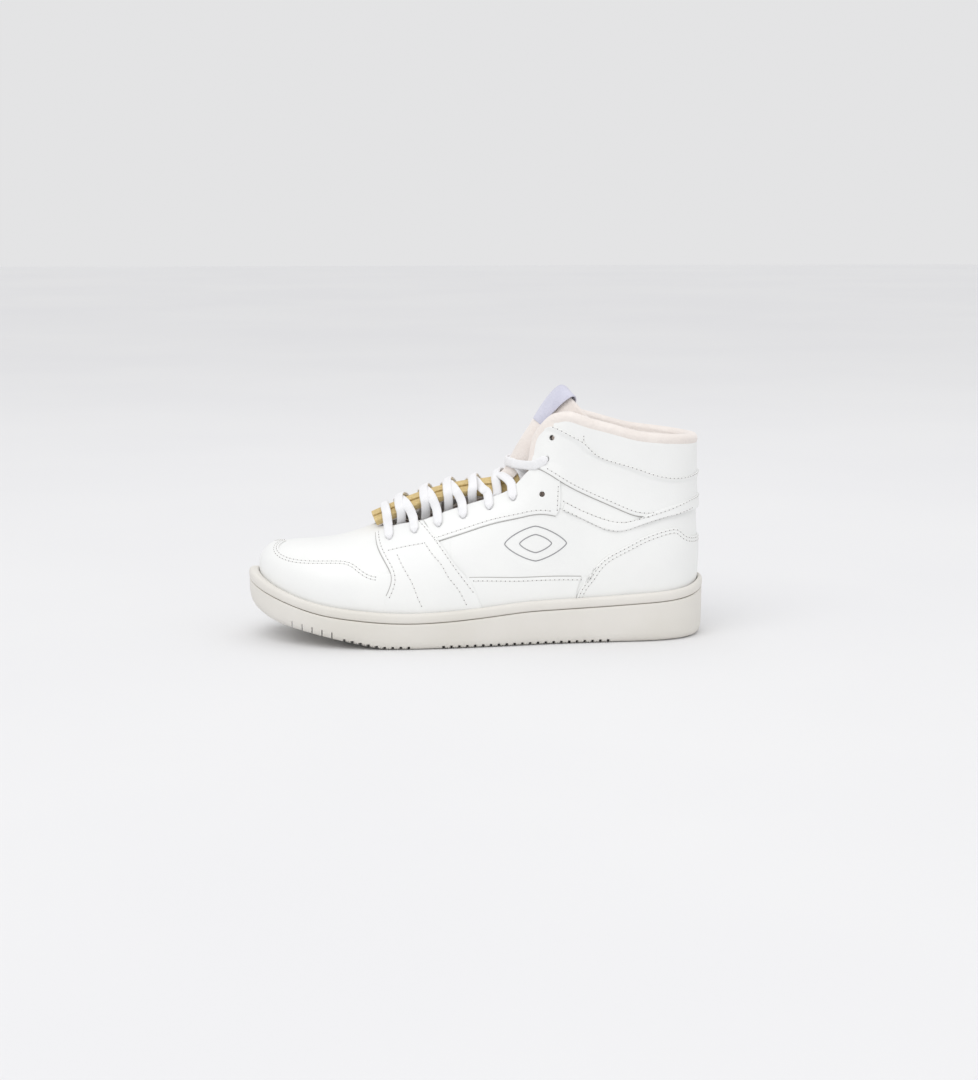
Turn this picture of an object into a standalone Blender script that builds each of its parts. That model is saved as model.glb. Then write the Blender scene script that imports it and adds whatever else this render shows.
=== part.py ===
"""A left basketball high top: cupsole, layered leather upper, padded tongue and lace.

The toe points to -X, the outer (lateral) side is -Y and +Z is up. Every panel of the upper lies on
one last surface, which upright ribs describe all the way round the shoe.
"""
import math

import bmesh
import bpy
import numpy as np
from mathutils import Matrix, Vector

MM = 0.001

# ---------------------------------------------------------------- driving dimensions, in mm
LEATHER = 1.4            # thickness of an overlay, a quarter or the vamp
LINING = 1.3             # thickness of the lining
GAP = 0.6                # clearance between two layers
COLLAR_PAD = 4.5         # how far the collar's foam pushes the lining inwards
GRID = 8.0               # length of a facet along a panel
EYELET_HOLE = 5.4        # punched lace holes
LACE = 2.4               # thickness of the lace's core
SOLE_WALL = 5.0          # how far the cupsole's wall stands out from the last
SOLE_FLOOR = 7.0         # thickness of the cupsole under the foot
LIP_BAND = 6.5           # height of the band above the sole's groove line
TREAD_PITCH = 5.1        # one transverse tread groove to the next
TREAD_DEPTH = 2.4
TREAD_WIDTH = 1.4
SPRING_START = -60.0     # the tread curves up ahead of this x
SPRING_SLOPE = 0.21
SWING = 7.0              # how far the toe bends to the inner side

# ---------------------------------------------------------------- the last
# Each rib: x of its foot on the centre line, bearing from the shoe's axis, and (radius, height) pairs
# from the feather edge up. Ribs run from the toe tip along the outer side to the back of the heel.
RIBS = (
    (-108, 0, ((31.5, 31), (33.3, 45), (32, 53), (27, 58.6), (19, 61.3), (10, 62.6), (0, 63.2))),
    (-108, 45, ((34, 27.5), (35.5, 39.5), (35, 48), (31, 55.5), (22, 60.3), (11, 62.4), (0, 63.2))),
    (-108, 90, ((42, 20), (43.3, 30.5), (43, 41), (38.5, 51), (28, 58.3), (14, 62), (0, 63.2))),
    (-80, 90, ((47.5, 18), (49.3, 26), (49, 37), (44.5, 49), (33, 59.5), (17, 66), (0, 68))),
    (-45, 90, ((49.5, 16), (51.2, 24), (50, 38), (44.5, 53), (33, 68), (17, 79.5), (0, 83))),
    (-5, 90, ((46, 18), (47.5, 26), (46, 43), (40.5, 61), (32, 77.5), (18.5, 90.5), (0, 97))),
    (25, 90, ((41.5, 21), (42.8, 28.8), (41.5, 47), (37.5, 66), (32.5, 85), (24.5, 101), (8, 118))),
    (50, 90, ((38, 22), (39.2, 29.8), (38.3, 52), (35.5, 76), (33, 100), (31.3, 124), (30, 148))),
    (85, 90, ((35, 23), (36.3, 31.2), (36.6, 52), (34.5, 76), (32.2, 100), (32.2, 122), (32.5, 142))),
    (105, 90, ((34, 24), (35.2, 32.3), (36, 52), (34, 75), (31.5, 97), (31.3, 117), (32, 136))),
    (105, 45, ((36.5, 26), (37.7, 34.5), (38.7, 53), (37, 75), (34.8, 96), (34.3, 115), (34.5, 132))),
    (105, 0, ((37.9, 28), (39.1, 38.5), (39.8, 55), (39.2, 76), (38.6, 96), (38.2, 113), (38, 130))),
)
HEEL = len(RIBS) - 1     # number of the rib at the back of the heel; rib 0 is the toe tip
AROUND = 2 * HEEL        # ribs round the whole shoe
TOP = 6.0                # number of a rib's highest point
TOE_RIBS = 2             # ribs on either side of the toe tip that meet in one point
ARCH_RIBS = 4            # ribs on either side that close over the foot
LIP = 1.0                # number of the point where the upper meets the sole's lip


def rib_net():
    """every rib's points, on both sides, with two more past the top that guide the spline"""
    rows = []
    for i in range(AROUND):
        lateral = i <= HEEL
        x, bearing, rib = RIBS[i if lateral else AROUND - i]
        turn = math.radians(bearing)
        ahead = (-1 if x < 0 else 1) * math.cos(turn)
        aside = (-1 if lateral else 1) * math.sin(turn)
        rib = np.array(rib, float)
        if rib[6, 0] == 0:
            beyond = rib[[5, 4]] * (-1, 1)
        else:
            beyond = np.array([2 * rib[6] - rib[5], 3 * rib[6] - 2 * rib[5]])
        rib = np.vstack([rib, beyond])
        rows.append(np.stack([x + ahead * rib[:, 0], aside * rib[:, 0], rib[:, 1]], 1))
    return np.array(rows)


def spline_weights(count, at, closed):
    """weights of a natural, or closed, cubic spline through count points, at the places `at`"""
    one = np.eye(count)
    matrix = 4 * one + np.roll(one, 1, 0) + np.roll(one, -1, 0)
    bend = 6 * (np.roll(one, 1, 0) - 2 * one + np.roll(one, -1, 0))
    if not closed:
        matrix[[0, -1]] = one[[0, -1]]
        bend[[0, -1]] = 0
    second = np.linalg.solve(matrix, bend)
    if closed:
        at = at % count
        low = np.floor(at).astype(int) % count
        high = (low + 1) % count
        part = (at - np.floor(at))[:, None]
    else:
        low = np.clip(np.floor(at).astype(int), 0, count - 2)
        high = low + 1
        part = (at - low)[:, None]
    ease = (1 - part) ** 3 - (1 - part)
    rise = part ** 3 - part
    return (1 - part) * one[low] + part * one[high] + (ease * second[low] + rise * second[high]) / 6


NET = rib_net()


def last(s, t):
    """points of the last: s counts ribs round the shoe from the toe tip, t counts up a rib"""
    s, t = np.broadcast_arrays(np.asarray(s, float), np.asarray(t, float))
    around = spline_weights(AROUND, s.ravel(), True)
    up = spline_weights(NET.shape[1], t.ravel(), False)
    p = np.einsum("ni,nj,ijk->nk", around, up, NET)
    # the toe's ribs all end in one point, and the next few meet on the centre line
    from_toe = np.abs((s.ravel() + HEEL) % AROUND - HEEL)[:, None]
    top = around @ NET[:, 6]
    miss = np.where(from_toe < TOE_RIBS, NET[0, 6] - top, top * (0, -1, 0))
    p += np.where(from_toe < ARCH_RIBS, miss * (t.ravel()[:, None] / TOP) ** 4, 0)
    x, y, z = p.T
    waist = 0.13 * np.exp(-((x - 22) / 42) ** 2) * np.clip((95 - z) / 70, 0, 1)
    ball = 0.04 * np.exp(-((x + 40) / 30) ** 2) * np.clip((70 - z) / 50, 0, 1)
    y = np.where(y > 0, y * (1 - waist - ball), y) + centre_line(x)
    return np.stack([x, y, z], 1).reshape(s.shape + (3,))


def centre_line(x):
    """y of the shoe's bent centre line"""
    return SWING * np.clip((-60 - x) / 90, 0, 1) ** 1.6


def normals(s, t):
    step = 0.02
    t = np.clip(t, step, TOP - 2 * step)
    along = last(s + step, t) - last(s - step, t)
    up = last(s, t + step) - last(s, t - step)
    n = np.cross(along, up)
    return n / np.linalg.norm(n, axis=-1, keepdims=True)


TABLE_S = np.linspace(0, HEEL, 221)
TABLE_T = np.linspace(0, TOP, 121)
TABLE = last(TABLE_S[:, None], TABLE_T[None, :])


def find(x, z):
    """(s, t) of the place on the outer side with this x and z"""
    t = [np.interp(z, row[:, 2], TABLE_T) for row in TABLE]
    row_x = [np.interp(k, TABLE_T, row[:, 0]) for k, row in zip(t, TABLE)]
    s = np.interp(x, np.maximum.accumulate(row_x), TABLE_S)
    return s, np.interp(s, TABLE_S, t)


def curve(points, count):
    """a smooth line through (x, z) points on the last, as count (s, t) pairs evenly spaced"""
    st = np.array([find(x, z) for x, z in points])
    knots = np.linspace(0, len(st) - 1, 12 * len(st))
    fine = spline_weights(len(st), knots, False) @ st
    p = last(fine[:, 0], fine[:, 1])
    run = np.concatenate([[0], np.cumsum(np.linalg.norm(np.diff(p, axis=0), axis=1))])
    at = np.linspace(0, run[-1], count)
    return np.stack([np.interp(at, run, fine[:, k]) for k in (0, 1)], 1)


def length(st):
    p = last(st[:, 0], st[:, 1])
    return np.linalg.norm(np.diff(p, axis=0), axis=1).sum()


# ---------------------------------------------------------------- scene, materials and mesh helpers
for thing in list(bpy.data.objects):
    bpy.data.objects.remove(thing, do_unlink=True)


def collection(name):
    made = bpy.data.collections.new(name)
    bpy.context.scene.collection.children.link(made)
    return made


PARTS = collection("basketball_high_top")
CUTTERS = collection("cutters")

FINISHES = {
    "white_leather": ((0.83, 0.83, 0.81), 0.42),
    "lining": ((0.78, 0.72, 0.66), 0.85),
    "foam": ((0.70, 0.53, 0.22), 0.95),
    "board": ((0.75, 0.72, 0.65), 0.9),
    "rubber": ((0.76, 0.74, 0.70), 0.5),
    "lace": ((0.88, 0.87, 0.89), 0.8),
    "label": ((0.62, 0.62, 0.72), 0.7),
    "aglet": ((0.9, 0.9, 0.9), 0.2),
}


def finish(obj, kind):
    colour, roughness = FINISHES[kind]
    mat = bpy.data.materials.new(obj.name + "_" + kind)
    mat.use_nodes = True
    shader = mat.node_tree.nodes["Principled BSDF"]
    shader.inputs["Base Color"].default_value = (*colour, 1)
    shader.inputs["Roughness"].default_value = roughness
    obj.data.materials.append(mat)
    return obj


def as_object(name, bm, kind):
    mesh = bpy.data.meshes.new(name)
    bm.to_mesh(mesh)
    bm.free()
    mesh.shade_smooth()
    mesh.set_sharp_from_angle(angle=math.radians(40))
    obj = bpy.data.objects.new(name, mesh)
    PARTS.objects.link(obj)
    return finish(obj, kind)


def grid_mesh(points, wrap=False):
    """a sheet of quads through rows of points in mm, welded where points meet"""
    bm = bmesh.new()
    rows, columns = points.shape[:2]
    verts = [[bm.verts.new(p * MM) for p in row] for row in points]
    for i in range(rows if wrap else rows - 1):
        for j in range(columns - 1):
            a, b = verts[i], verts[(i + 1) % rows]
            bm.faces.new((a[j], b[j], b[j + 1], a[j + 1]))
    bmesh.ops.remove_doubles(bm, verts=bm.verts, dist=0.02 * MM)
    bmesh.ops.dissolve_degenerate(bm, edges=bm.edges, dist=0.01 * MM)
    return bm


def solidify(obj, thickness):
    wall = obj.modifiers.new("thickness", "SOLIDIFY")
    wall.thickness = thickness * MM
    wall.offset = -1
    return obj


def sheet(name, st, height, thickness, kind, wrap=False):
    """a panel on the last from a grid of (s, t); height is its outer face above the last"""
    s, t = st[..., 0], st[..., 1]
    points = last(s, t) + normals(s, t) * np.asarray(height)[..., None]
    return solidify(as_object(name, grid_mesh(points, wrap), kind), thickness)


def ruled(low, high, rows):
    """a grid of (s, t) between two lines of as many points"""
    v = np.linspace(0, 1, rows)[None, :, None]
    return low[:, None, :] * (1 - v) + high[:, None, :] * v


def mirrored(st):
    """the same grid on the inner side, with its columns turned so that it still faces out"""
    other = st[::-1].copy()
    other[..., 0] = AROUND - other[..., 0]
    return other


def wrapped(st):
    """a grid that ends at the heel, carried on round to the inner side"""
    return np.concatenate([st, mirrored(st)[1:]])


def both_sides(name, st, height, thickness, kind):
    return [
        sheet(name + "_lateral", st, height, thickness, kind),
        sheet(name + "_medial", mirrored(st), height, thickness, kind),
    ]


# ---------------------------------------------------------------- outlines, (x, z) on the outer side
FEATHER = 0.0            # any height at or below the feather edge, hidden in the cupsole
THROAT = ((-58, 74.4), (-52.6, 75), (-37, 79.1), (-20.6, 83.9), (-6.9, 88.1), (8.5, 92.7), (22.5, 99.9))
WING_FRONT = ((34.5, 115), (35.4, 122), (37.6, 131), (40.5, 138))
COLLAR_EDGE = ((43, 141.5), (50, 143.8), (57, 143.3), (70, 139), (90, 133.5), (115, 128.8), (144, 127))
BAND_FOOT = ((46.9, 137.6), (57.7, 132.2), (65.2, 128), (71.7, 121.5), (84.3, 115.5), (103, 109.6),
             (125, 103.6), (144, 106))
WING_FOOT = ((37.1, 112.5), (47.7, 106.9), (64.2, 97.4), (89.4, 86), (108, 83.4), (129, 88.6), (144, 90.5))
STRAP_TOP = ((54, 90.6), (71.7, 82.2), (89.4, 77.3), (102.5, 79.6), (122.7, 85.2), (144, 89.4))
STRAP_FOOT = ((52.5, 86), (70.8, 77.5), (89.4, 72.1), (109.1, 77.7), (127.4, 81.6), (144, 84))
WRAP_TOP = ((61.5, FEATHER), (62, 31), (69.9, 43), (82.8, 56.9), (101.4, 66.4), (124.8, 73.2),
            (134.1, 67.4), (144.5, 65.2))
EYESTAY_FOOT = ((-24.6, 68), (-6.9, 73.3), (12.3, 78.7), (30, 82.6), (48, 82.4))
SADDLE_FRONT = ((-66.5, FEATHER), (-61, 34.5), (-57.5, 45.5), (-61.8, 55.5), (-66, 64), (-66.5, 70.5))
SADDLE_REAR = ((3.5, FEATHER), (-5, 36.9), (-15.5, 50.5), (-26.7, 66.1), (-37, 77.5))
EYELETS = ((-58.1, 67.7), (-42, 71.9), (-26.8, 76), (-10.7, 81.1), (6.2, 86.5), (21.9, 92.8), (39.5, 96.2),
           (42.7, 118.4), (46.2, 132.1))
QUARTER_TOP = ((-17, 72), (8.5, 80), (25, 86), (38, 92), (48, 104), (51, 118), (54, 131), (60, 136.5),
               (70, 135), (90, 130.5), (115, 126), (144, 124))
# the toe cap's upper edge, as (rib, place on the rib)
TOE_CAP_EDGE = ((0, 4.3), (0.5, 3.75), (1, 3.35), (1.5, 3.28), (2, 3.45), (2.7, 3.6), (3.05, 3.25),
                (3.3, 2.85), (3.6, 2.75))


def coons(foot, top, front=None, rear=None, step=GRID):
    """a grid of (s, t) filling four (x, z) outlines; a straight front or rear may be left out"""
    front = front or (foot[0], top[0])
    rear = rear or (foot[-1], top[-1])
    columns = max(3, round(max(length(curve(k, 24)) for k in (foot, top)) / step) + 1)
    rows = max(3, round(max(length(curve(k, 24)) for k in (front, rear)) / step) + 1)
    low, high = curve(foot, columns)[:, None], curve(top, columns)[:, None]
    left, right = curve(front, rows)[None], curve(rear, rows)[None]
    u = np.linspace(0, 1, columns)[:, None, None]
    v = np.linspace(0, 1, rows)[None, :, None]
    corners = ((1 - u) * (1 - v) * low[:1] + (1 - u) * v * high[:1]
               + u * (1 - v) * low[-1:] + u * v * high[-1:])
    return (1 - v) * low + v * high + (1 - u) * left + u * right - corners


OVERLAY = GAP + LEATHER              # outer face of the overlays above the last
INNER = -LEATHER - GAP               # outer face of the stiffeners behind the base panels
STIFFENER = 1.0
LINING_FACE = INNER - STIFFENER - 1.6 * GAP


def column_grid(s, foot, top, step=GRID):
    """a grid whose columns follow the ribs s, from t = foot to t = top"""
    foot, top = np.broadcast_to(foot, s.shape), np.broadcast_to(top, s.shape)
    lines = [np.stack([s, k], 1) for k in (foot, top)]
    tall = max(length(np.stack([np.full(9, a), np.linspace(b, c, 9)], 1)) for a, b, c in zip(s, foot, top))
    return ruled(*lines, max(3, round(tall / step) + 1))


def throat_top(s):
    """top of the vamp on rib s: the middle line ahead of the throat, then the throat's edge"""
    return np.interp(np.abs(s), (3.38, 3.52, 3.7, 4.2, 4.6), (TOP, 5.3, 4.9, 4.66, 4.7))


# ---------------------------------------------------------------- the upper
def base_panels():
    s = np.linspace(-4.5, 4.5, 33)
    sheet("vamp", column_grid(s, 0.0, throat_top(s)), 0.0, LEATHER, "white_leather")
    foot = ((-16, FEATHER), (144.5, FEATHER))
    quarter = coons(foot, QUARTER_TOP, step=1.3 * GRID)
    quarter[-1, :, 0] = HEEL - 0.012
    both_sides("quarter", quarter, 0.0, LEATHER, "white_leather")


def overlays():
    edge_s, edge_t = np.array(TOE_CAP_EDGE).T
    s = np.linspace(-3.42, 3.42, 33)
    cap = column_grid(s, 0.05, np.interp(np.abs(s), edge_s, edge_t))
    front = curve(SADDLE_FRONT, cap.shape[1])
    gap = np.array([0.035, 0])
    cap[-1] = np.stack([np.interp(cap[-1, :, 1], front[:, 1], front[:, 0]), cap[-1, :, 1]], 1) - gap
    cap[0] = cap[-1] * (-1, 1)
    sheet("toe_cap", cap, OVERLAY + 0.2, LEATHER, "white_leather")

    foot = ((SADDLE_FRONT[0]), (SADDLE_REAR[0]))
    saddle = coons(foot, (SADDLE_FRONT[-1],) + THROAT[1:2] + (SADDLE_REAR[-1],), SADDLE_FRONT, SADDLE_REAR)
    both_sides("saddle", saddle, OVERLAY, LEATHER, "white_leather")

    top = ((-35.2, 78.6),) + THROAT[3:] + ((35.2, 110.6), (50.4, 102))
    eyestay = coons(EYESTAY_FOOT, top, rear=(EYESTAY_FOOT[-1], (51, 89), top[-1]))
    both_sides("eyestay", eyestay, OVERLAY, LEATHER, "white_leather")

    foot = ((6, FEATHER), (58.4, FEATHER))
    top = ((-9.3, 44.6), (31.4, 43.6), (64.6, 43.2))
    foxing = coons(foot, top, (foot[0], (-4.2, 37.2), top[0]), (foot[1], (59, 31.5), top[-1]))
    both_sides("foxing", foxing, OVERLAY, LEATHER, "white_leather")

    wrap_foot = ((61.5, FEATHER), (144.5, FEATHER))
    wrap = coons(wrap_foot, WRAP_TOP[2:], WRAP_TOP[:3])
    wrap[-1, :, 0] = HEEL
    sheet("heel_overlay", wrapped(wrap), OVERLAY, LEATHER, "white_leather")

    strap = coons(STRAP_FOOT, STRAP_TOP)
    strap[-1, :, 0] = HEEL
    sheet("heel_strap", wrapped(strap), OVERLAY, LEATHER, "white_leather")

    wing = coons(WING_FOOT, BAND_FOOT, (WING_FOOT[0],) + WING_FRONT[:3] + ((42, 137.2), BAND_FOOT[0]))
    wing[-1, :, 0] = HEEL - 0.015
    both_sides("ankle_overlay", wing, OVERLAY, LEATHER, "white_leather")

    foot = ((46.6, 139.4), (58.4, 133.6), (66.3, 129.4), (72.6, 123), (84.8, 117), (103.3, 111),
            (125, 105.1), (144, 107.5))
    band = coons(foot, ((47.5, 142.2), (50, 142.6)) + COLLAR_EDGE[2:])
    band[-1, :, 0] = HEEL
    sheet("collar_band", wrapped(band), OVERLAY, LEATHER, "white_leather")


def rim_height(s):
    """place on rib s of the throat's edge, and of the collar's rim behind it"""
    ribs = (3.6, 3.8, 4.2, 4.6, 4.95, 5.4, 5.9, 6.2, 6.4, 6.55, 6.75, 6.9)
    places = (5.1, 4.8, 4.68, 4.72, 4.82, 4.95, 5.05, 5.15, 5.5, 5.75, 5.86, 5.9)
    return np.interp(np.minimum(s, AROUND - s), ribs, places)


def ease(x):
    x = np.clip(x, 0, 1)
    return x * x * (3 - 2 * x)


def off_the_rim(s, path):
    """points round the rim of each rib s: path holds (outwards, upwards) pairs"""
    t = rim_height(s)
    rim, out = last(s, t), normals(s, t)
    rise = last(s, t) - last(s, t - 0.1)
    rise /= np.linalg.norm(rise, axis=-1, keepdims=True)
    return np.stack([rim + out * np.reshape(a, (-1, 1)) + rise * b for a, b in path], 1)


def round_the_heel(ribs):
    ribs = np.array(ribs, float)
    return np.concatenate([ribs, AROUND - ribs[::-1][1:]])


COLLAR_RIBS = (6.62, 6.78, 6.95, 7.15, 7.45, 7.85, 8.3, 8.75, 9.15, 9.5, 9.85, 10.2, 10.6, 11)


def lining_depth(s, t):
    """outer face of the collar's lining, pushed in by the foam behind the front of the wings"""
    padded = ease((np.minimum(s, AROUND - s) - 6.75) / 0.45) * ease((t - 3.9) / 1.1)
    return LINING_FACE - COLLAR_PAD * padded


def on_ribs(s, t, height):
    s = np.broadcast_to(s[:, None], t.shape)
    return last(s, t) + normals(s, t) * np.broadcast_to(height, t.shape)[..., None]


def linings():
    s = np.linspace(-4.5, 4.5, 25)
    inside = column_grid(s, 0.15, throat_top(s) - 0.04, 1.2 * GRID)
    sheet("vamp_lining", inside, LINING_FACE, LINING, "lining")
    s = np.array((4.6, 4.9, 5.2, 5.5, 5.8, 6.1, 6.3, 6.48))
    instep = column_grid(s, 0.15, rim_height(s) - 0.04, 1.2 * GRID)
    both_sides("instep_lining", instep, LINING_FACE, LINING, "lining")
    s = round_the_heel(COLLAR_RIBS)
    t = 0.15 + (rim_height(s) - 0.15)[:, None] * np.linspace(0, 1, 10)
    wall = on_ribs(s, t, lining_depth(s[:, None], t))
    deep = lining_depth(s, TOP)
    roll = off_the_rim(s, ((deep, 1.5), (deep * 0.8, 3.1), (deep * 0.5, 3.8), (deep * 0.15, 3.1), (0.5, 1.6)))
    lining = as_object("collar_lining", grid_mesh(np.concatenate([wall, roll], 1)), "lining")
    solidify(lining, LINING)


def foam_ring():
    """the collar's padding: one bar that runs round the ankle inside the collar"""
    s = round_the_heel(COLLAR_RIBS[3:])
    rim = rim_height(s)[:, None]
    outer = on_ribs(s, 4.45 + (rim - 4.45) * np.linspace(0, 1, 5), INNER)
    deep = LINING_FACE - COLLAR_PAD
    top = off_the_rim(s, ((-2.2, 0.8), (deep * 0.5, 1.8), (deep + 1.6, 0.8)))
    t = rim + (4.45 - rim) * np.linspace(0.05, 1, 5)
    inner = on_ribs(s, t, np.minimum(lining_depth(s[:, None], t) + 1.2 * GAP, INNER - 0.7))
    section = np.concatenate([outer, top, inner], 1)
    bm = bmesh.new()
    verts = [[bm.verts.new(p * MM) for p in ring] for ring in section]
    count = section.shape[1]
    for a, b in zip(verts, verts[1:]):
        for j in range(count):
            k = (j + 1) % count
            bm.faces.new((a[j], b[j], b[k], a[k]))
    bm.faces.new(verts[0])
    bm.faces.new(verts[-1][::-1])
    bmesh.ops.recalc_face_normals(bm, faces=bm.faces)
    as_object("collar_foam", bm, "foam")


def stiffeners():
    s = np.linspace(-2.8, 2.8, 19)
    sheet("toe_puff", column_grid(s, 0.2, np.interp(np.abs(s), (0, 1.5, 2.8), (4, 3.6, 2.6)), 1.2 * GRID),
          INNER, 0.8 * STIFFENER, "board")
    s = round_the_heel((8.3, 8.6, 8.9, 9.2, 9.5, 9.8, 10.1, 10.4, 10.7, 11))
    top = np.interp(np.minimum(s, AROUND - s), (8.3, 9, 10, 11), (1.9, 2.9, 3.3, 3.4))
    sheet("heel_counter", column_grid(s, 0.2, top, 1.2 * GRID), INNER, STIFFENER, "board")
    st = np.array([find(x, z) for x, z in EYELETS[:7]])
    line = spline_weights(7, np.linspace(0, 6, 13), False) @ st
    line[-1, 1] = line[-2, 1] + 0.02
    strip = ruled(line - (0, 0.42), np.stack([line[:, 0], rim_height(line[:, 0]) - 0.12], 1), 4)
    both_sides("eyelet_backer", strip, INNER - 0.45, 0.8 * STIFFENER, "board")


# ---------------------------------------------------------------- lace holes
def eyelet_places():
    st = np.array([find(x, z) for x, z in EYELETS])
    return {-1: st, 1: np.stack([AROUND - st[:, 0], st[:, 1]], 1)}


PUNCHED = ("vamp", "saddle", "eyestay", "quarter", "ankle_overlay", "eyelet_backer", "vamp_lining",
           "instep_lining", "collar_lining")


def punch():
    for side, name in ((-1, "lateral"), (1, "medial")):
        bm = bmesh.new()
        for s, t in eyelet_places()[side]:
            out = normals(s, t)
            drill = bmesh.ops.create_cone(bm, cap_ends=True, segments=12, radius1=EYELET_HOLE / 2 * MM,
                                          radius2=EYELET_HOLE / 2 * MM, depth=24 * MM)
            turn = Vector(out).to_track_quat("Z", "Y").to_matrix().to_4x4()
            bmesh.ops.transform(bm, matrix=Matrix.Translation(Vector(last(s, t) - out * 3) * MM) @ turn,
                                verts=drill["verts"])
        mesh = bpy.data.meshes.new("punch_" + name)
        bm.to_mesh(mesh)
        bm.free()
        cutter = bpy.data.objects.new("punch_" + name, mesh)
        CUTTERS.objects.link(cutter)
        cutter.hide_render = True
        cutter.display_type = "WIRE"
        for obj in list(PARTS.objects):
            whole = obj.name in PUNCHED
            if whole or (obj.name.endswith(name) and obj.name.rsplit("_", 1)[0] in PUNCHED):
                cut = obj.modifiers.new("lace_holes_" + name, "BOOLEAN")
                cut.operation = "DIFFERENCE"
                cut.object = cutter


# ---------------------------------------------------------------- the sole
RING = AROUND * 3
RING_S = np.arange(RING) / 3


def tread_height(x):
    """height of the tread: flat, then curving up under the toe"""
    ahead = np.maximum(SPRING_START - x, 0)
    spring = SPRING_SLOPE * (np.sqrt(ahead ** 2 + 36) - 6)
    return spring + 4 * (np.clip(-125 - x, 0, None) / 20) ** 2


def ring(offset, height):
    """the foot's outline moved outwards in plan; height is a number or a function of the ring's x"""
    line = last(RING_S, LIP)
    ahead = last(RING_S + 0.02, LIP) - last(RING_S - 0.02, LIP)
    out = np.stack([ahead[:, 1], -ahead[:, 0]], 1)
    out /= np.linalg.norm(out, axis=1, keepdims=True)
    line[:, :2] += out * np.broadcast_to(offset, RING)[:, None]
    line[:, 2] = height(line[:, 0]) if callable(height) else height
    return line


def stacked(name, rings, kind):
    """a solid between rings from its underside, up its outside and down its inside"""
    bm = bmesh.new()
    verts = [[bm.verts.new(p * MM) for p in r] for r in rings]
    for a, b in zip(verts, verts[1:]):
        for i in range(RING):
            k = (i + 1) % RING
            bm.faces.new((a[i], a[k], b[k], b[i]))
    for cap in (verts[0], verts[-1]):
        for i in range(RING // 2):
            corners = [cap[i], cap[i + 1], cap[RING - i - 1], cap[(RING - i) % RING]]
            bm.faces.new(list(dict.fromkeys(corners)))
    bmesh.ops.recalc_face_normals(bm, faces=bm.faces)
    return as_object(name, bm, kind)


def outsole():
    lip = last(RING_S, LIP)[:, 2] - 0.4
    groove = lip - LIP_BAND
    rib = np.minimum(RING_S, AROUND - RING_S)
    wall = SOLE_WALL + 2.6 * ease(1 - rib / 2) - 0.7 * ease((rib - 9) / 2)
    lifted = [lambda x, k=k: tread_height(x) + k for k in (0, 0.4, 2.8, 7)]
    floor = np.minimum(tread_height(last(RING_S, LIP)[:, 0]) + SOLE_FLOOR, last(RING_S, 0)[:, 2] - 6.5)
    sole = stacked("outsole", [
        ring(wall - 9, lifted[0]), ring(wall - 3.5, lifted[1]), ring(wall - 1.2, lifted[2]),
        ring(wall - 0.2, lifted[3]), ring(wall, groove - 1.4), ring(wall - 0.9, groove),
        ring(wall - 0.1, groove + 0.8), ring(wall + 0.1, lip - 2.2), ring(wall - 0.6, lip - 0.5),
        ring(wall - 1.6, lip), ring(2.8, lip - 0.2), ring(2.8, floor)], "rubber")
    tread_cuts(sole)
    feather = last(RING_S, 0)[:, 2]
    stacked("midsole_wedge", [ring(2.2, floor + 0.4), ring(2.2, feather - 3.4)], "foam")
    stacked("strobel_board", [ring(1, feather - 3), ring(1, feather - 1.4)], "board")
    stacked("sockliner", [ring(-7.4, feather - 0.6), ring(-7.8, feather + 3.4)], "lining")


def tread_cuts(sole):
    """transverse grooves under the forefoot and the heel, and tall slits up the toe's wall"""
    bm = bmesh.new()
    for first, count in ((-88, 9), (-25, 22)):
        for i in range(count):
            x = first + i * TREAD_PITCH
            base = float(tread_height(x + TREAD_WIDTH / 2))
            box = bmesh.ops.create_cube(bm, size=1)
            size = Matrix.Diagonal((TREAD_WIDTH * MM, 0.16, 2 * TREAD_DEPTH * MM, 1))
            bmesh.ops.transform(bm, matrix=Matrix.Translation(Vector((x, 0, base)) * MM) @ size,
                                verts=box["verts"])
    for i in range(5):
        x = -121 + i * 6.3
        tall = 11 - 1.6 * i
        base = float(tread_height(x))
        box = bmesh.ops.create_cube(bm, size=1)
        size = Matrix.Diagonal((0.9 * MM, 0.16, 2 * tall * MM, 1))
        bmesh.ops.transform(bm, matrix=Matrix.Translation(Vector((x, 0, base - 2 * tall + 5)) * MM) @ size,
                            verts=box["verts"])
    mesh = bpy.data.meshes.new("tread_cutter")
    bm.to_mesh(mesh)
    bm.free()
    cutter = bpy.data.objects.new("tread_cutter", mesh)
    CUTTERS.objects.link(cutter)
    cutter.hide_render = True
    cutter.display_type = "WIRE"
    cut = sole.modifiers.new("tread", "BOOLEAN")
    cut.operation = "DIFFERENCE"
    cut.object = cutter


# ---------------------------------------------------------------- the tongue
TONGUE_LINE = ((-69, 81), (-63, 83.6), (-54, 87.3), (-45, 91), (-25, 97.5), (-5, 101.5), (7, 103), (16.5, 107.5),
               (23, 119), (27.5, 127), (34, 137), (42, 147), (50, 155.5), (55, 160))
TONGUE_HALF = ((-69, 15.5), (-60, 16.5), (0, 16.5), (11, 14.8), (18, 16.5), (24, 17), (55, 17))
TONGUE_DROP = ((-69, 3), (-5, 3.5), (8, 9), (18, 24), (23, 26), (40, 21), (55, 19))
TONGUE_ARC = ((-5, 38), (8, 55), (18, 80))   # x, and a cross-section's arc in degrees, middle to edge


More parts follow.
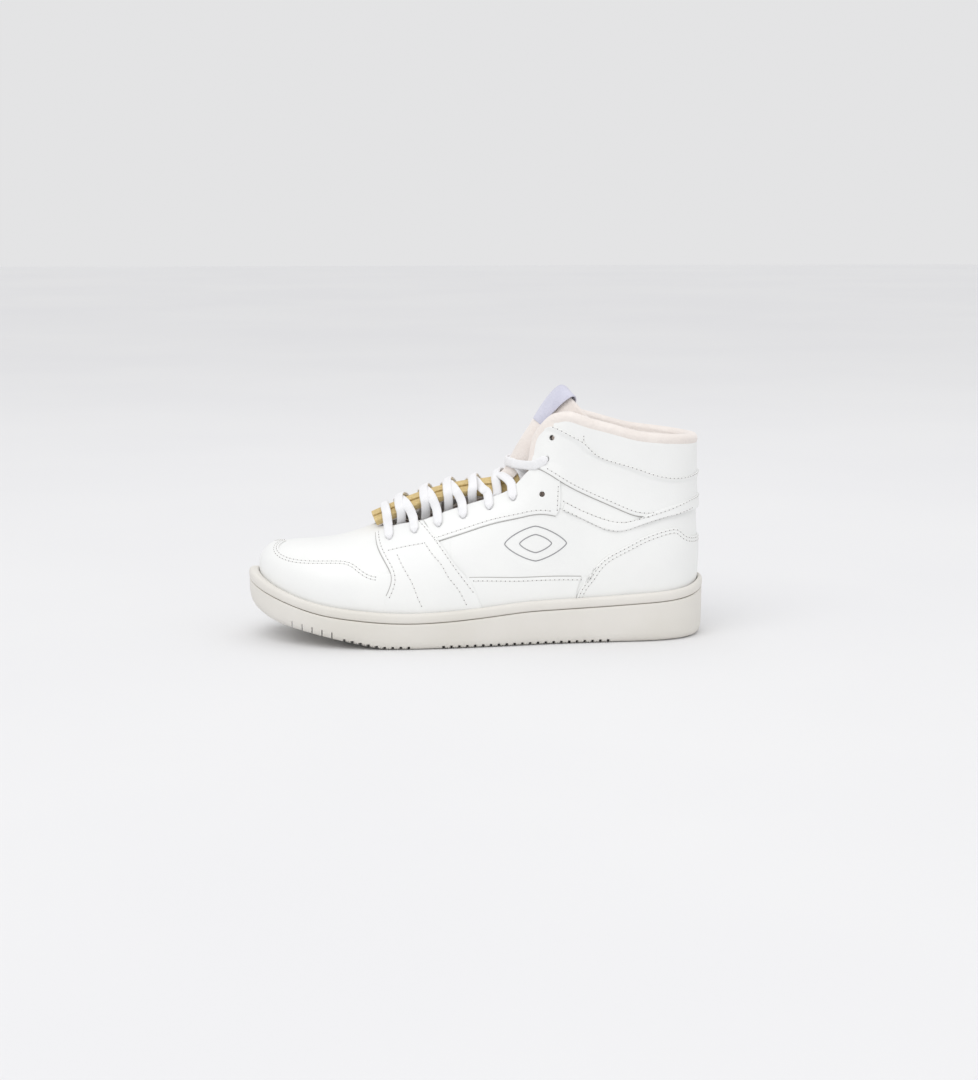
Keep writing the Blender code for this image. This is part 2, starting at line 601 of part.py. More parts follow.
def tongue_frame(u):
    """centre points, backward directions, half widths and drops of the tongue; u runs from 0 to 1"""
    line = np.array(TONGUE_LINE, float)
    spans = len(line) - 1
    nudged = (np.clip(u + k, 0, 1) * spans for k in (0, 0.01, -0.01))
    p, q, r = (spline_weights(len(line), at, False) @ line for at in nudged)
    along = (q - r) / np.linalg.norm(q - r, axis=1, keepdims=True)
    back = np.stack([along[:, 1], -along[:, 0]], 1)
    half = np.interp(p[:, 0], *zip(*TONGUE_HALF))
    drop = np.interp(p[:, 0], *zip(*TONGUE_DROP))
    return p, back, half, drop


def tongue_face(u, v):
    p, back, half, drop = tongue_frame(u)
    arc = np.radians(np.interp(p[:, :1], *zip(*TONGUE_ARC)))
    sink = drop[:, None] * (1 - np.cos(v * arc)) / (1 - np.cos(arc))
    y = half[:, None] * np.sin(v * arc) / np.sin(arc) + centre_line(p[:, :1])
    return np.stack([p[:, :1] + back[:, :1] * sink, y, p[:, 1:] + back[:, 1:] * sink], -1)


def tongue_points(u, v, depth):
    """grid of points on the tongue, depth mm behind its face"""
    step = 0.004
    along = tongue_face(u + step, v) - tongue_face(u - step, v)
    across = tongue_face(u, v + step) - tongue_face(u, v - step)
    inwards = np.cross(across, along)
    inwards /= np.linalg.norm(inwards, axis=-1, keepdims=True)
    return tongue_face(u, v) + inwards * depth


FOLD_U = (8 + 0.05) / 13             # where the free part of the tongue begins
FOLD_GAP = 0.0125                    # half of the parting at the fold, as a share of the tongue
LAYERS = (("face", 0, 1.2, "white_leather"), ("foam", 1.5, 3.6, "foam"), ("lining", 5.5, 0.9, "lining"))


def tongue():
    spans = (("tongue_base", 0, FOLD_U - FOLD_GAP, 12), ("tongue_flap", FOLD_U + FOLD_GAP, 1, 6))
    for part, start, end, rows in spans:
        for layer, depth, thick, kind in LAYERS:
            width = 0.97 if layer == "foam" else 1
            points = tongue_points(np.linspace(start, end, rows), np.linspace(-width, width, 11), depth)
            solidify(as_object(part + "_" + layer, grid_mesh(points), kind), thick)


def tongue_label():
    v = np.linspace(-0.72, 0.72, 9)
    front = tongue_points(np.linspace(0.84, 1, 5), v, -1.9)
    back = tongue_frame(np.array([1.0]))[1][0]
    top = []
    for depth, lift in ((-0.8, 2.8), (3.6, 4.4), (8.4, 3)):
        top.append(tongue_points(np.array([1.0]), v, depth) + np.array((-back[1], 0, back[0])) * lift)
    behind = tongue_points(np.array([0.985, 0.95]), v, 9.6)
    label = as_object("tongue_label", grid_mesh(np.concatenate([front, *top, behind])), "label")
    solidify(label, 1.2)


# ---------------------------------------------------------------- the lace
LACED = (0, 1, 2, 3, 4, 5, 7)        # eyelets that hold the lace; the seventh and the top one are empty
CROSSINGS = (-50, -34, -19, -3, 13, 19.5)  # x where the lace crosses the tongue


def over_tongue(x, height, v=0.0):
    """point over the tongue's face at this x; v is 0 over its middle and 1 at its edge"""
    u = np.linspace(0, 1, 200)
    at = np.interp(x, tongue_frame(u)[0][:, 0], u)
    return tongue_points(np.array([at]), np.array([v]), -height)[0, 0]


def lace_route():
    """points of the lace, from its end inside the outer wing to its end inside the inner wing"""
    holes = eyelet_places()
    over = OVERLAY + LACE / 2 + 1.4
    under = LINING_FACE - LINING - LACE / 2 - 1.45

    def beside(side, k, up, height, along=0.0):
        """a point near laced hole k: up its rib, off the last, and along towards the ankle"""
        s, t = holes[side][LACED[k]]
        s, t = s - side * along, t + up
        return last(s, t) + normals(s, t) * height

    def hole(side, k):
        depths = (over + 0.6, 1, -2, -5, under - 0.7)
        return [beside(side, k, 0.28, over + 0.3)] + [beside(side, k, 0, h) for h in depths]

    def crossing(side, k):
        """from hole k up through the throat and over to hole k + 1 on the other side"""
        rise = LACE / 2 + 1.8 + 0.55 * k + (LACE + 0.9 if side < 0 else 0)
        x, near, far = CROSSINGS[k], EYELETS[LACED[k]][0], EYELETS[LACED[k + 1]][0]
        start = beside(side, k, 0.75, under + 0.7, 0.14)
        end = beside(-side, k + 1, 0.62, over + 0.4)
        if k == 5:
            end = beside(-side, 6, 0.12, over + 0.8, -0.32)
        under_edge = beside(side, k, 0.3, under - 0.4, 0.08)
        if k == 5:
            return [under_edge, start, beside(side, k, 1.1, 0.3, 0.16), over_tongue(x, rise - 0.7), end]
        leave, reach = 0.25 * near + 0.75 * x, 0.35 * far + 0.65 * x
        if k == 4:
            leave = x - 4.5
        beyond = over_tongue(leave, -2.5, side) + (0, side * 3.8, 0)
        way = [under_edge, start, beyond, over_tongue(leave, 5.5, side * 1.15), over_tongue(x, rise)]
        return way + ([] if k == 4 else [over_tongue(reach, 5.5, -side * 1.1)]) + [end]

    def tail(side):
        """from the top hole down between the tongue's edge and the wing's lining"""
        ends = ((45, 20.5, 110), (49, 21, 102), (56, 22.5, 94), (64, 23, 88))
        return hole(side, 6) + [np.array((x, side * y, z)) for x, y, z in ends]

    halves = []
    for first in (-1, 1):
        points = []
        for k in range(6):
            side = first * (-1) ** k
            points += hole(side, k) + crossing(side, k)
        halves.append(points + tail(first))
    bar = [beside(-1, 0, 0.6, over + 0.2), over_tongue(-60, 5.5, -1.15), over_tongue(-60, 3.6),
           over_tongue(-60, 5.5, 1.15), beside(1, 0, 0.6, over + 0.2)]
    return halves[0][::-1] + bar + halves[1]


def tube(name, route, radius, kind, sides=2, spacing=8.0):
    fine = np.array(route)
    for _ in range(3):                                   # cut the corners until the route is smooth
        near, far = 0.75 * fine[:-1] + 0.25 * fine[1:], 0.25 * fine[:-1] + 0.75 * fine[1:]
        fine = np.concatenate([fine[:1], np.stack([near, far], 1).reshape(-1, 3), fine[-1:]])
    run = np.concatenate([[0], np.cumsum(np.linalg.norm(np.diff(fine, axis=0), axis=1))])
    at = np.linspace(0, run[-1], round(run[-1] / spacing))
    points = np.stack([np.interp(at, run, fine[:, k]) for k in range(3)], 1) * MM
    data = bpy.data.curves.new(name, "CURVE")
    data.dimensions = "3D"
    data.bevel_depth = radius * MM
    data.bevel_resolution = sides
    data.use_fill_caps = True
    line = data.splines.new("POLY")
    line.points.add(len(points) - 1)
    for knot, p in zip(line.points, points):
        knot.co = (*p, 1)
    obj = bpy.data.objects.new(name, data)
    PARTS.objects.link(obj)
    return finish(obj, kind)


def lace():
    route = lace_route()
    tube("lace", route, LACE / 2, "lace", spacing=7.5)
    for name, end, before in (("aglet_lateral", route[0], route[1]), ("aglet_medial", route[-1], route[-2])):
        way = (end - before) / np.linalg.norm(end - before)
        tube(name, [end + way * 0.4, end + way * 6, end + way * 14], 1.6, "aglet", sides=3, spacing=3)


base_panels()
overlays()
linings()
foam_ring()
stiffeners()
punch()
outsole()
tongue()
tongue_label()
lace()
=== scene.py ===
"""A left basketball high top in coated white leather, laced, on a cream rubber cupsole.

The toe points to -X, the outer (lateral) side is -Y and +Z is up. Sizes are in millimetres until they
become a mesh, and the pieces follow the order in which the shoe is laced, soled and closed.
"""
import math

import bmesh
import bpy
import numpy as np
from mathutils import Matrix, Vector
from mathutils.bvhtree import BVHTree


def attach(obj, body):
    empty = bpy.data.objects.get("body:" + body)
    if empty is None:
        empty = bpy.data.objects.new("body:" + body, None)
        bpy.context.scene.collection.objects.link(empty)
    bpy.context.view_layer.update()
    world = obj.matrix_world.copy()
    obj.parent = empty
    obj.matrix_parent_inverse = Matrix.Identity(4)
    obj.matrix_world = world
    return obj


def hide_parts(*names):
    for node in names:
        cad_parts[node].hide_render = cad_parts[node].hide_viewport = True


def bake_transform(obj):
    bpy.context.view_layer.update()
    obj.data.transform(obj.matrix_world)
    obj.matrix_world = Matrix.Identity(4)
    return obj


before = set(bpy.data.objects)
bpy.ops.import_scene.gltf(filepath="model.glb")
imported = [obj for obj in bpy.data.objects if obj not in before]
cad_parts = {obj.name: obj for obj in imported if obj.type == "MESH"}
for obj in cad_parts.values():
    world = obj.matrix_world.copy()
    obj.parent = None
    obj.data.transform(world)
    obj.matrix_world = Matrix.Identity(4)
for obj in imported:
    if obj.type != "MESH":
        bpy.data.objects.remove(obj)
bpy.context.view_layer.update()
MM = 0.001

# ---------------------------------------------------------------- floor, lights and camera
# A sheet of matt pale card under the shoe, three large soft boxes, soft daylight from the front and an
# even white surround, seen from the outer side with a long lens a little above the laces.
FLOOR_SIZE = 12             # metres
CAMERA_AZIMUTH = math.radians(-4)
CAMERA_HEIGHT = math.radians(9)
CAMERA_DISTANCE = 1.5
CAMERA_LENS = 76.3
CAMERA_SHIFT = (0.0111, -0.0046)
LOOKED_AT = Vector((0, 0, 0.065))
SOFT_BOXES = (
    ("key", (-0.55, -1.0, 1.55), 1.3, 5),
    ("fill", (1.1, -1.1, 0.7), 1.2, 1.5),
    ("top", (0.15, 0.75, 1.5), 1.2, 2.5),
)
DAYLIGHT_WAY = Vector((0.4, 0.7, -1.1))


def shader_of(name, colour, roughness):
    """a new Principled finish; returns the material, its tree and its shader"""
    finish = bpy.data.materials.new(name)
    finish.use_nodes = True
    tree = finish.node_tree
    shader = tree.nodes["Principled BSDF"]
    shader.inputs["Base Color"].default_value = (*colour, 1)
    shader.inputs["Roughness"].default_value = roughness
    return finish, tree, shader


def node(tree, kind, links=(), **values):
    """adds a node, links (input, output) pairs to it and sets its inputs and properties"""
    made = tree.nodes.new(kind)
    for key, value in values.items():
        if hasattr(made, key):
            setattr(made, key, value)
        else:
            made.inputs[key.replace("_", " ")].default_value = value
    for key, source in links:
        tree.links.new(source, made.inputs[key])
    return made


def mottled(tree, shader, vector, light, dark, scale, bend=0.5):
    """soft colour variation between two near shades"""
    cloud = node(tree, "ShaderNodeTexNoise", [("Vector", vector)], Scale=scale, Detail=3.0, Roughness=bend)
    ramp = node(tree, "ShaderNodeValToRGB", [("Fac", cloud.outputs["Fac"])])
    ramp.color_ramp.elements[0].position = 0.35
    ramp.color_ramp.elements[0].color = (*dark, 1)
    ramp.color_ramp.elements[1].position = 0.65
    ramp.color_ramp.elements[1].color = (*light, 1)
    tree.links.new(ramp.outputs["Color"], shader.inputs["Base Color"])
    return ramp


card, card_tree, card_shader = shader_of("pale_card", (0.81, 0.81, 0.815), 0.9)
card_place = node(card_tree, "ShaderNodeTexCoord").outputs["Object"]
mottled(card_tree, card_shader, card_place, (0.81, 0.81, 0.815), (0.79, 0.79, 0.80), 2.0)
floor_mesh = bpy.data.meshes.new("floor")
floor_grid = bmesh.new()
bmesh.ops.create_grid(floor_grid, x_segments=8, y_segments=8, size=FLOOR_SIZE / 2)
floor_grid.to_mesh(floor_mesh)
floor_grid.free()
floor = bpy.data.objects.new("floor", floor_mesh)
floor.data.materials.append(card)
bpy.context.scene.collection.objects.link(floor)

surround = bpy.data.worlds.new("surround")
surround.use_nodes = True
surround.node_tree.nodes["Background"].inputs["Color"].default_value = (0.775, 0.775, 0.782, 1)
surround.node_tree.nodes["Background"].inputs["Strength"].default_value = 1.0
bpy.context.scene.world = surround
bpy.context.scene.view_settings.view_transform = "Standard"

for lamp_name, lamp_place, lamp_size, lamp_power in SOFT_BOXES:
    lamp = bpy.data.objects.new(lamp_name, bpy.data.lights.new(lamp_name, "AREA"))
    lamp.data.size = lamp_size
    lamp.data.energy = lamp_power
    lamp.location = lamp_place
    lamp.rotation_euler = (LOOKED_AT - Vector(lamp_place)).to_track_quat("-Z", "Y").to_euler()
    bpy.context.scene.collection.objects.link(lamp)

daylight = bpy.data.objects.new("daylight", bpy.data.lights.new("daylight", "SUN"))
daylight.data.energy = 0.58
daylight.data.angle = math.radians(60)
daylight.rotation_euler = DAYLIGHT_WAY.to_track_quat("-Z", "Y").to_euler()
bpy.context.scene.collection.objects.link(daylight)

camera = bpy.data.objects.new("camera", bpy.data.cameras.new("camera"))
away = Vector((math.sin(CAMERA_AZIMUTH) * math.cos(CAMERA_HEIGHT),
               -math.cos(CAMERA_AZIMUTH) * math.cos(CAMERA_HEIGHT), math.sin(CAMERA_HEIGHT)))
camera.location = LOOKED_AT + away * CAMERA_DISTANCE
camera.rotation_euler = (-away).to_track_quat("-Z", "Y").to_euler()
camera.data.lens = CAMERA_LENS
camera.data.shift_x, camera.data.shift_y = CAMERA_SHIFT
bpy.context.scene.collection.objects.link(camera)
bpy.context.scene.camera = camera

# ---------------------------------------------------------------- the last, and the lace
# The upper is drawn over a last: upright ribs from the sole's feather edge to the top line, joined by
# smooth curves. The lace is one flat white polyester braid, 6 mm wide. It bars the first pair of
# holes, criss-crosses up the tongue into each hole from outside, and its ends are tucked inside.
SWING = 7.0                 # how far the toe bends to the inner side
LEATHER = 1.1               # thickness of a visible panel of the upper
LINING = 1.3
OVERLAY = 1.15              # outer face of an overlay above the last; a base panel's is at 0
LINING_FACE = -3.96         # outer face of the lining behind the stiffeners
LACE_WIDTH = 6.0
LACE_THICK = 2.1
LACE_CORE = 2.4             # the lace where it gathers to pass a hole
LACE_SIDES = 16             # points round the lace
LACE_STEP = 1.0             # between its cross-sections
ACROSS_THROAT = (0.91, 0, 0.42)         # the way the lace's flat width points on the tongue
ACROSS_WING = (-0.3, 0, 1)              # and beside the wing
TUCKED = 36                 # length of an end tucked inside the collar
RIBS = (
    (-108, 0, ((31.5, 31), (33.3, 45), (32, 53), (27, 58.6), (19, 61.3), (10, 62.6), (0, 63.2))),
    (-108, 45, ((34, 27.5), (35.5, 39.5), (35, 48), (31, 55.5), (22, 60.3), (11, 62.4), (0, 63.2))),
    (-108, 90, ((42, 20), (43.3, 30.5), (43, 41), (38.5, 51), (28, 58.3), (14, 62), (0, 63.2))),
    (-80, 90, ((47.5, 18), (49.3, 26), (49, 37), (44.5, 49), (33, 59.5), (17, 66), (0, 68))),
    (-45, 90, ((49.5, 16), (51.2, 24), (50, 38), (44.5, 53), (33, 68), (17, 79.5), (0, 83))),
    (-5, 90, ((46, 18), (47.5, 26), (46, 43), (40.5, 61), (32, 77.5), (18.5, 90.5), (0, 97))),
    (25, 90, ((41.5, 21), (42.8, 28.8), (41.5, 47), (37.5, 66), (32.5, 85), (24.5, 101), (8, 118))),
    (50, 90, ((38, 22), (39.2, 29.8), (38.3, 52), (35.5, 76), (33, 100), (31.3, 124), (30, 148))),
    (85, 90, ((35, 23), (36.3, 31.2), (36.6, 52), (34.5, 76), (32.2, 100), (32.2, 122), (32.5, 142))),
    (105, 90, ((34, 24), (35.2, 32.3), (36, 52), (34, 75), (31.5, 97), (31.3, 117), (32, 136))),
    (105, 45, ((36.5, 26), (37.7, 34.5), (38.7, 53), (37, 75), (34.8, 96), (34.3, 115), (34.5, 132))),
    (105, 0, ((37.9, 28), (39.1, 38.5), (39.8, 55), (39.2, 76), (38.6, 96), (38.2, 113), (38, 130))),
)
HEEL = len(RIBS) - 1     # number of the rib at the back of the heel; rib 0 is the toe tip
AROUND = 2 * HEEL        # ribs round the whole shoe
TOP = 6.0                # number of a rib's highest point
TOE_RIBS = 2             # ribs on either side of the toe tip that meet in one point
ARCH_RIBS = 4            # ribs on either side that close over the foot
LIP = 1.0                # number of the point where the upper meets the sole's lip


def ease(x):
    x = np.clip(x, 0, 1)
    return x * x * (3 - 2 * x)


def rib_net():
    """every rib's points, on both sides, with two more past the top that guide the spline"""
    rows = []
    for i in range(AROUND):
        lateral = i <= HEEL
        x, bearing, rib = RIBS[i if lateral else AROUND - i]
        turn = math.radians(bearing)
        ahead = (-1 if x < 0 else 1) * math.cos(turn)
        aside = (-1 if lateral else 1) * math.sin(turn)
        rib = np.array(rib, float)
        if rib[6, 0] == 0:
            beyond = rib[[5, 4]] * (-1, 1)
        else:
            beyond = np.array([2 * rib[6] - rib[5], 3 * rib[6] - 2 * rib[5]])
        rib = np.vstack([rib, beyond])
        rows.append(np.stack([x + ahead * rib[:, 0], aside * rib[:, 0], rib[:, 1]], 1))
    return np.array(rows)


def spline_weights(count, at, closed):
    """weights of a natural, or closed, cubic spline through count points, at the places `at`"""
    one = np.eye(count)
    matrix = 4 * one + np.roll(one, 1, 0) + np.roll(one, -1, 0)
    bend = 6 * (np.roll(one, 1, 0) - 2 * one + np.roll(one, -1, 0))
    if not closed:
        matrix[[0, -1]] = one[[0, -1]]
        bend[[0, -1]] = 0
    second = np.linalg.solve(matrix, bend)
    if closed:
        at = at % count
        low = np.floor(at).astype(int) % count
        high = (low + 1) % count
        part = (at - np.floor(at))[:, None]
    else:
        low = np.clip(np.floor(at).astype(int), 0, count - 2)
        high = low + 1
        part = (at - low)[:, None]
    ease = (1 - part) ** 3 - (1 - part)
    rise = part ** 3 - part
    return (1 - part) * one[low] + part * one[high] + (ease * second[low] + rise * second[high]) / 6


NET = rib_net()


def last(s, t):
    """points of the last: s counts ribs round the shoe from the toe tip, t counts up a rib"""
    s, t = np.broadcast_arrays(np.asarray(s, float), np.asarray(t, float))
    around = spline_weights(AROUND, s.ravel(), True)
    up = spline_weights(NET.shape[1], t.ravel(), False)
    p = np.einsum("ni,nj,ijk->nk", around, up, NET)
    # the toe's ribs all end in one point, and the next few meet on the centre line
    from_toe = np.abs((s.ravel() + HEEL) % AROUND - HEEL)[:, None]
    top = around @ NET[:, 6]
    miss = np.where(from_toe < TOE_RIBS, NET[0, 6] - top, top * (0, -1, 0))
    p += np.where(from_toe < ARCH_RIBS, miss * (t.ravel()[:, None] / TOP) ** 4, 0)
    x, y, z = p.T
    waist = 0.13 * np.exp(-((x - 22) / 42) ** 2) * np.clip((95 - z) / 70, 0, 1)
    ball = 0.04 * np.exp(-((x + 40) / 30) ** 2) * np.clip((70 - z) / 50, 0, 1)
    y = np.where(y > 0, y * (1 - waist - ball), y) + centre_line(x)
    return np.stack([x, y, z], 1).reshape(s.shape + (3,))


def centre_line(x):
    """y of the shoe's bent centre line"""
    return SWING * np.clip((-60 - x) / 90, 0, 1) ** 1.6


def normals(s, t):
    """directions straight out of the last"""
    step = 0.02
    t = np.clip(t, step, TOP - 2 * step)
    along = last(s + step, t) - last(s - step, t)
    up = last(s, t + step) - last(s, t - step)
    n = np.cross(along, up)
    return n / np.linalg.norm(n, axis=-1, keepdims=True)


TABLE_S = np.linspace(0, HEEL, 221)
TABLE_T = np.linspace(0, TOP, 121)
TABLE = last(TABLE_S[:, None], TABLE_T[None, :])


def find(x, z):
    """(s, t) of the place on the outer side with this x and z, read off a fine table of the last"""
    t = [np.interp(z, row[:, 2], TABLE_T) for row in TABLE]
    row_x = [np.interp(k, TABLE_T, row[:, 0]) for k, row in zip(t, TABLE)]
    s = np.interp(x, np.maximum.accumulate(row_x), TABLE_S)
    return s, np.interp(s, TABLE_S, t)


def curve(points, count):
    """a smooth line through (x, z) points on the last, as count (s, t) pairs evenly spaced"""
    st = np.array([find(x, z) for x, z in points])
    knots = np.linspace(0, len(st) - 1, 12 * len(st))
    fine = spline_weights(len(st), knots, False) @ st
    p = last(fine[:, 0], fine[:, 1])
    run = np.concatenate([[0], np.cumsum(np.linalg.norm(np.diff(p, axis=0), axis=1))])
    at = np.linspace(0, run[-1], count)
    return np.stack([np.interp(at, run, fine[:, k]) for k in (0, 1)], 1)


def length(st):
    """length in mm of a line of (s, t)"""
    p = last(st[:, 0], st[:, 1])
    return np.linalg.norm(np.diff(p, axis=0), axis=1).sum()


EYELETS = ((-58.1, 67.7), (-42, 71.9), (-26.8, 76), (-10.7, 81.1), (6.2, 86.5), (21.9, 92.8), (39.5, 96.2),
           (42.7, 118.4), (46.2, 132.1))


def eyelet_places():
    """(s, t) of the lace holes: -1 is the outer side, 1 the inner"""
    st = np.array([find(x, z) for x, z in EYELETS])
    return {-1: st, 1: np.stack([AROUND - st[:, 0], st[:, 1]], 1)}


TONGUE_LINE = ((-69, 81), (-63, 83.6), (-54, 87.3), (-45, 91), (-25, 97.5), (-5, 101.5), (7, 103),
               (16.5, 107.5), (23, 119), (27.5, 127), (34, 137), (42, 147), (50, 155.5), (55, 160))
TONGUE_HALF = ((-69, 15.5), (-60, 16.5), (0, 16.5), (11, 14.8), (18, 16.5), (24, 17), (42, 17), (55, 19))
TONGUE_DROP = ((-69, 3), (-5, 3.5), (8, 9), (18, 24), (23, 26), (40, 21), (55, 25))
TONGUE_ARC = ((-5, 38), (8, 55), (18, 80))   # x, and a cross-section's arc in degrees, middle to edge


def tongue_frame(u):
    """centre points, backward directions, half widths and drops of the tongue; u runs from 0 to 1"""
    line = np.array(TONGUE_LINE, float)
    spans = len(line) - 1
    nudged = (np.clip(u + k, 0, 1) * spans for k in (0, 0.01, -0.01))
    p, q, r = (spline_weights(len(line), at, False) @ line for at in nudged)
    along = (q - r) / np.linalg.norm(q - r, axis=1, keepdims=True)
    back = np.stack([along[:, 1], -along[:, 0]], 1)
    half = np.interp(p[:, 0], *zip(*TONGUE_HALF))
    drop = np.interp(p[:, 0], *zip(*TONGUE_DROP))
    return p, back, half, drop


def tongue_face(u, v):
    """grid of points on the tongue's face; v is 0 along its middle and 1 at its edge"""
    p, back, half, drop = tongue_frame(u)
    arc = np.radians(np.interp(p[:, :1], *zip(*TONGUE_ARC)))
    sink = drop[:, None] * (1 - np.cos(v * arc)) / (1 - np.cos(arc))
    y = half[:, None] * np.sin(v * arc) / np.sin(arc) + centre_line(p[:, :1])
    return np.stack([p[:, :1] + back[:, :1] * sink, y, p[:, 1:] + back[:, 1:] * sink], -1)


def tongue_points(u, v, depth):
    """grid of points on the tongue, depth mm behind its face"""
    step = 0.004
    along = tongue_face(u + step, v) - tongue_face(u - step, v)
    across = tongue_face(u, v + step) - tongue_face(u, v - step)
    inwards = np.cross(across, along)
    inwards /= np.linalg.norm(inwards, axis=-1, keepdims=True)
    return tongue_face(u, v) + inwards * depth


FOLD_U = (8 + 0.05) / 13             # where the free part of the tongue begins

LACED = (0, 1, 2, 3, 4, 5, 7)        # eyelets that hold the lace; the seventh and the top one are empty
CROSSINGS = (-50, -34, -19, -3, 13, 19.5)  # x where the lace crosses the tongue


def over_tongue(x, height, v=0.0):
    """point over the tongue's face at this x; v is 0 over its middle and 1 at its edge"""
    u = np.linspace(0, 1, 200)
    at = np.interp(x, tongue_frame(u)[0][:, 0], u)
    return tongue_points(np.array([at]), np.array([v]), -height)[0, 0]


def lace_route():
    """points of the lace, from its end inside the outer wing to its end inside the inner wing"""
    holes = eyelet_places()
    over = OVERLAY + LACE_THICK / 2
    under = LINING_FACE - LINING - LACE_CORE / 2 - 1.45

    def beside(side, k, up, height, along=0.0):
        """a point near laced hole k: up its rib, off the last, and along towards the ankle"""
        s, t = holes[side][LACED[k]]
        s, t = s - side * along, t + up
        return last(s, t) + normals(s, t) * height

    def hole(side, k):
        depths = (over + 0.6, 1, -2, -5, under - 0.7)
        before = beside(side, k, 0.03, over + 0.35, -0.13) if k == 6 else beside(side, k, 0.28, over + 0.3)
        return [before] + [beside(side, k, 0, h) for h in depths]

    def crossing(side, k):
        """from hole k up through the throat and over to hole k + 1 on the other side"""
        rise = LACE_THICK / 2 + 0.5 + 0.2 * k + (LACE_THICK + 0.4 if side < 0 else 0)
        x, near, far = CROSSINGS[k], EYELETS[LACED[k]][0], EYELETS[LACED[k + 1]][0]
        start = beside(side, k, 0.75, under + 0.7, 0.14)
        end = beside(-side, k + 1, 0.62, over + 0.4)
        if k == 5:
            end = beside(-side, 6, 0.12, over + 0.8, -0.32)
        under_edge = beside(side, k, 0.3, under - 0.4, 0.08)
        if k == 5:
            return [under_edge, start, beside(side, k, 1.1, 0.3, 0.16), over_tongue(x, rise - 0.7), end]
        leave, reach = 0.25 * near + 0.75 * x, 0.35 * far + 0.65 * x
        if k == 4:
            leave = x - 4.5
        beyond = over_tongue(leave, -2.5, side) + (0, side * 3.8, 0)
        way = [under_edge, start, beyond, over_tongue(leave, 3.6, side * 1.1), over_tongue(x, rise)]
        return way + ([] if k == 4 else [over_tongue(reach, 3.8, -side * 1.1)]) + [end]

    def tail(side):
        """from the top hole down between the tongue's edge and the wing's lining"""
        ends = ((45, 20.5, 110), (49, 21, 102), (56, 22.5, 94), (64, 23, 88))
        return hole(side, 6) + [np.array((x, side * y, z)) for x, y, z in ends]

    halves = []
    for first in (-1, 1):
        points = []
        for k in range(6):
            side = first * (-1) ** k
            points += hole(side, k) + crossing(side, k)
        halves.append(points + tail(first))
    bar = [beside(-1, 0, 0.6, over + 0.2), over_tongue(-60, 3.6, -1.1), over_tongue(-60, 1.8),
           over_tongue(-60, 3.6, 1.1), beside(1, 0, 0.6, over + 0.2)]
    return halves[0][::-1] + bar + halves[1]


def spaced(route, step):
    """the route with its corners rounded and its points evenly spaced"""
    fine = np.array(route)
    for _ in range(4):
        near, far = 0.75 * fine[:-1] + 0.25 * fine[1:], 0.25 * fine[:-1] + 0.75 * fine[1:]
        fine = np.concatenate([fine[:1], np.stack([near, far], 1).reshape(-1, 3), fine[-1:]])
    run = np.concatenate([[0], np.cumsum(np.linalg.norm(np.diff(fine, axis=0), axis=1))])
    at = np.linspace(0, run[-1], round(run[-1] / step))
    return np.stack([np.interp(at, run, fine[:, k]) for k in range(3)], 1), run[-1]


def plain(obj):
    """the object with its modifiers worked into its mesh"""
    bpy.context.view_layer.update()
    made = bpy.data.meshes.new_from_object(obj.evaluated_get(bpy.context.evaluated_depsgraph_get()))
    obj.modifiers.clear()
    obj.data = made
    return obj


def piece(name, bm, finish, sharp=55):
    """a finished mesh, in metres, as an object"""
    mesh = bpy.data.meshes.new(name)
    bm.to_mesh(mesh)
    bm.free()
    mesh.materials.append(finish)
    mesh.shade_smooth()
    mesh.set_sharp_from_angle(angle=math.radians(sharp))
    obj = bpy.data.objects.new(name, mesh)
    bpy.context.scene.collection.objects.link(obj)
    return obj


def kept(obj, body, slot, *nodes):
    """says which body a piece moves with and which nodes it stands for; slot, whose finish it would take, is
    not used
    """
    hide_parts(*nodes)
    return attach(obj, body)


def braid():
    """flat braided polyester: two crossing sets of ribs across the lace, with painted shade in the hollows
    between them
    """
    finish, tree, shader = shader_of("lace_braid", (0.86, 0.86, 0.88), 0.75)
    shader.inputs["Sheen Weight"].default_value = 0.25
    along = node(tree, "ShaderNodeUVMap").outputs["UV"]
    ribs = []
    for turn in (0.9, -0.9):
        turned = node(tree, "ShaderNodeMapping", [("Vector", along)], Rotation=(0, 0, turn))
        ribs.append(node(tree, "ShaderNodeTexWave", [("Vector", turned.outputs[0])], Scale=0.36,
                         Distortion=0.3, Detail=1.0).outputs["Fac"])
    both = node(tree, "ShaderNodeMath", operation="MAXIMUM")
    for k, rib in enumerate(ribs):
        tree.links.new(rib, both.inputs[k])
    raised = node(tree, "ShaderNodeBump", [("Height", both.outputs[0])], Strength=0.55, Distance=0.0003)
    tree.links.new(raised.outputs[0], shader.inputs["Normal"])
    # painted shade and highlight: the colour follows the ribs' height, darker in the hollows and lighter on
    # the crests
    ramp = node(tree, "ShaderNodeValToRGB", [("Fac", both.outputs[0])])
    ramp.color_ramp.elements[0].color = (0.83, 0.83, 0.85, 1)
    ramp.color_ramp.elements[1].color = (0.93, 0.93, 0.94, 1)
    tree.links.new(ramp.outputs[0], shader.inputs["Base Color"])
    return finish


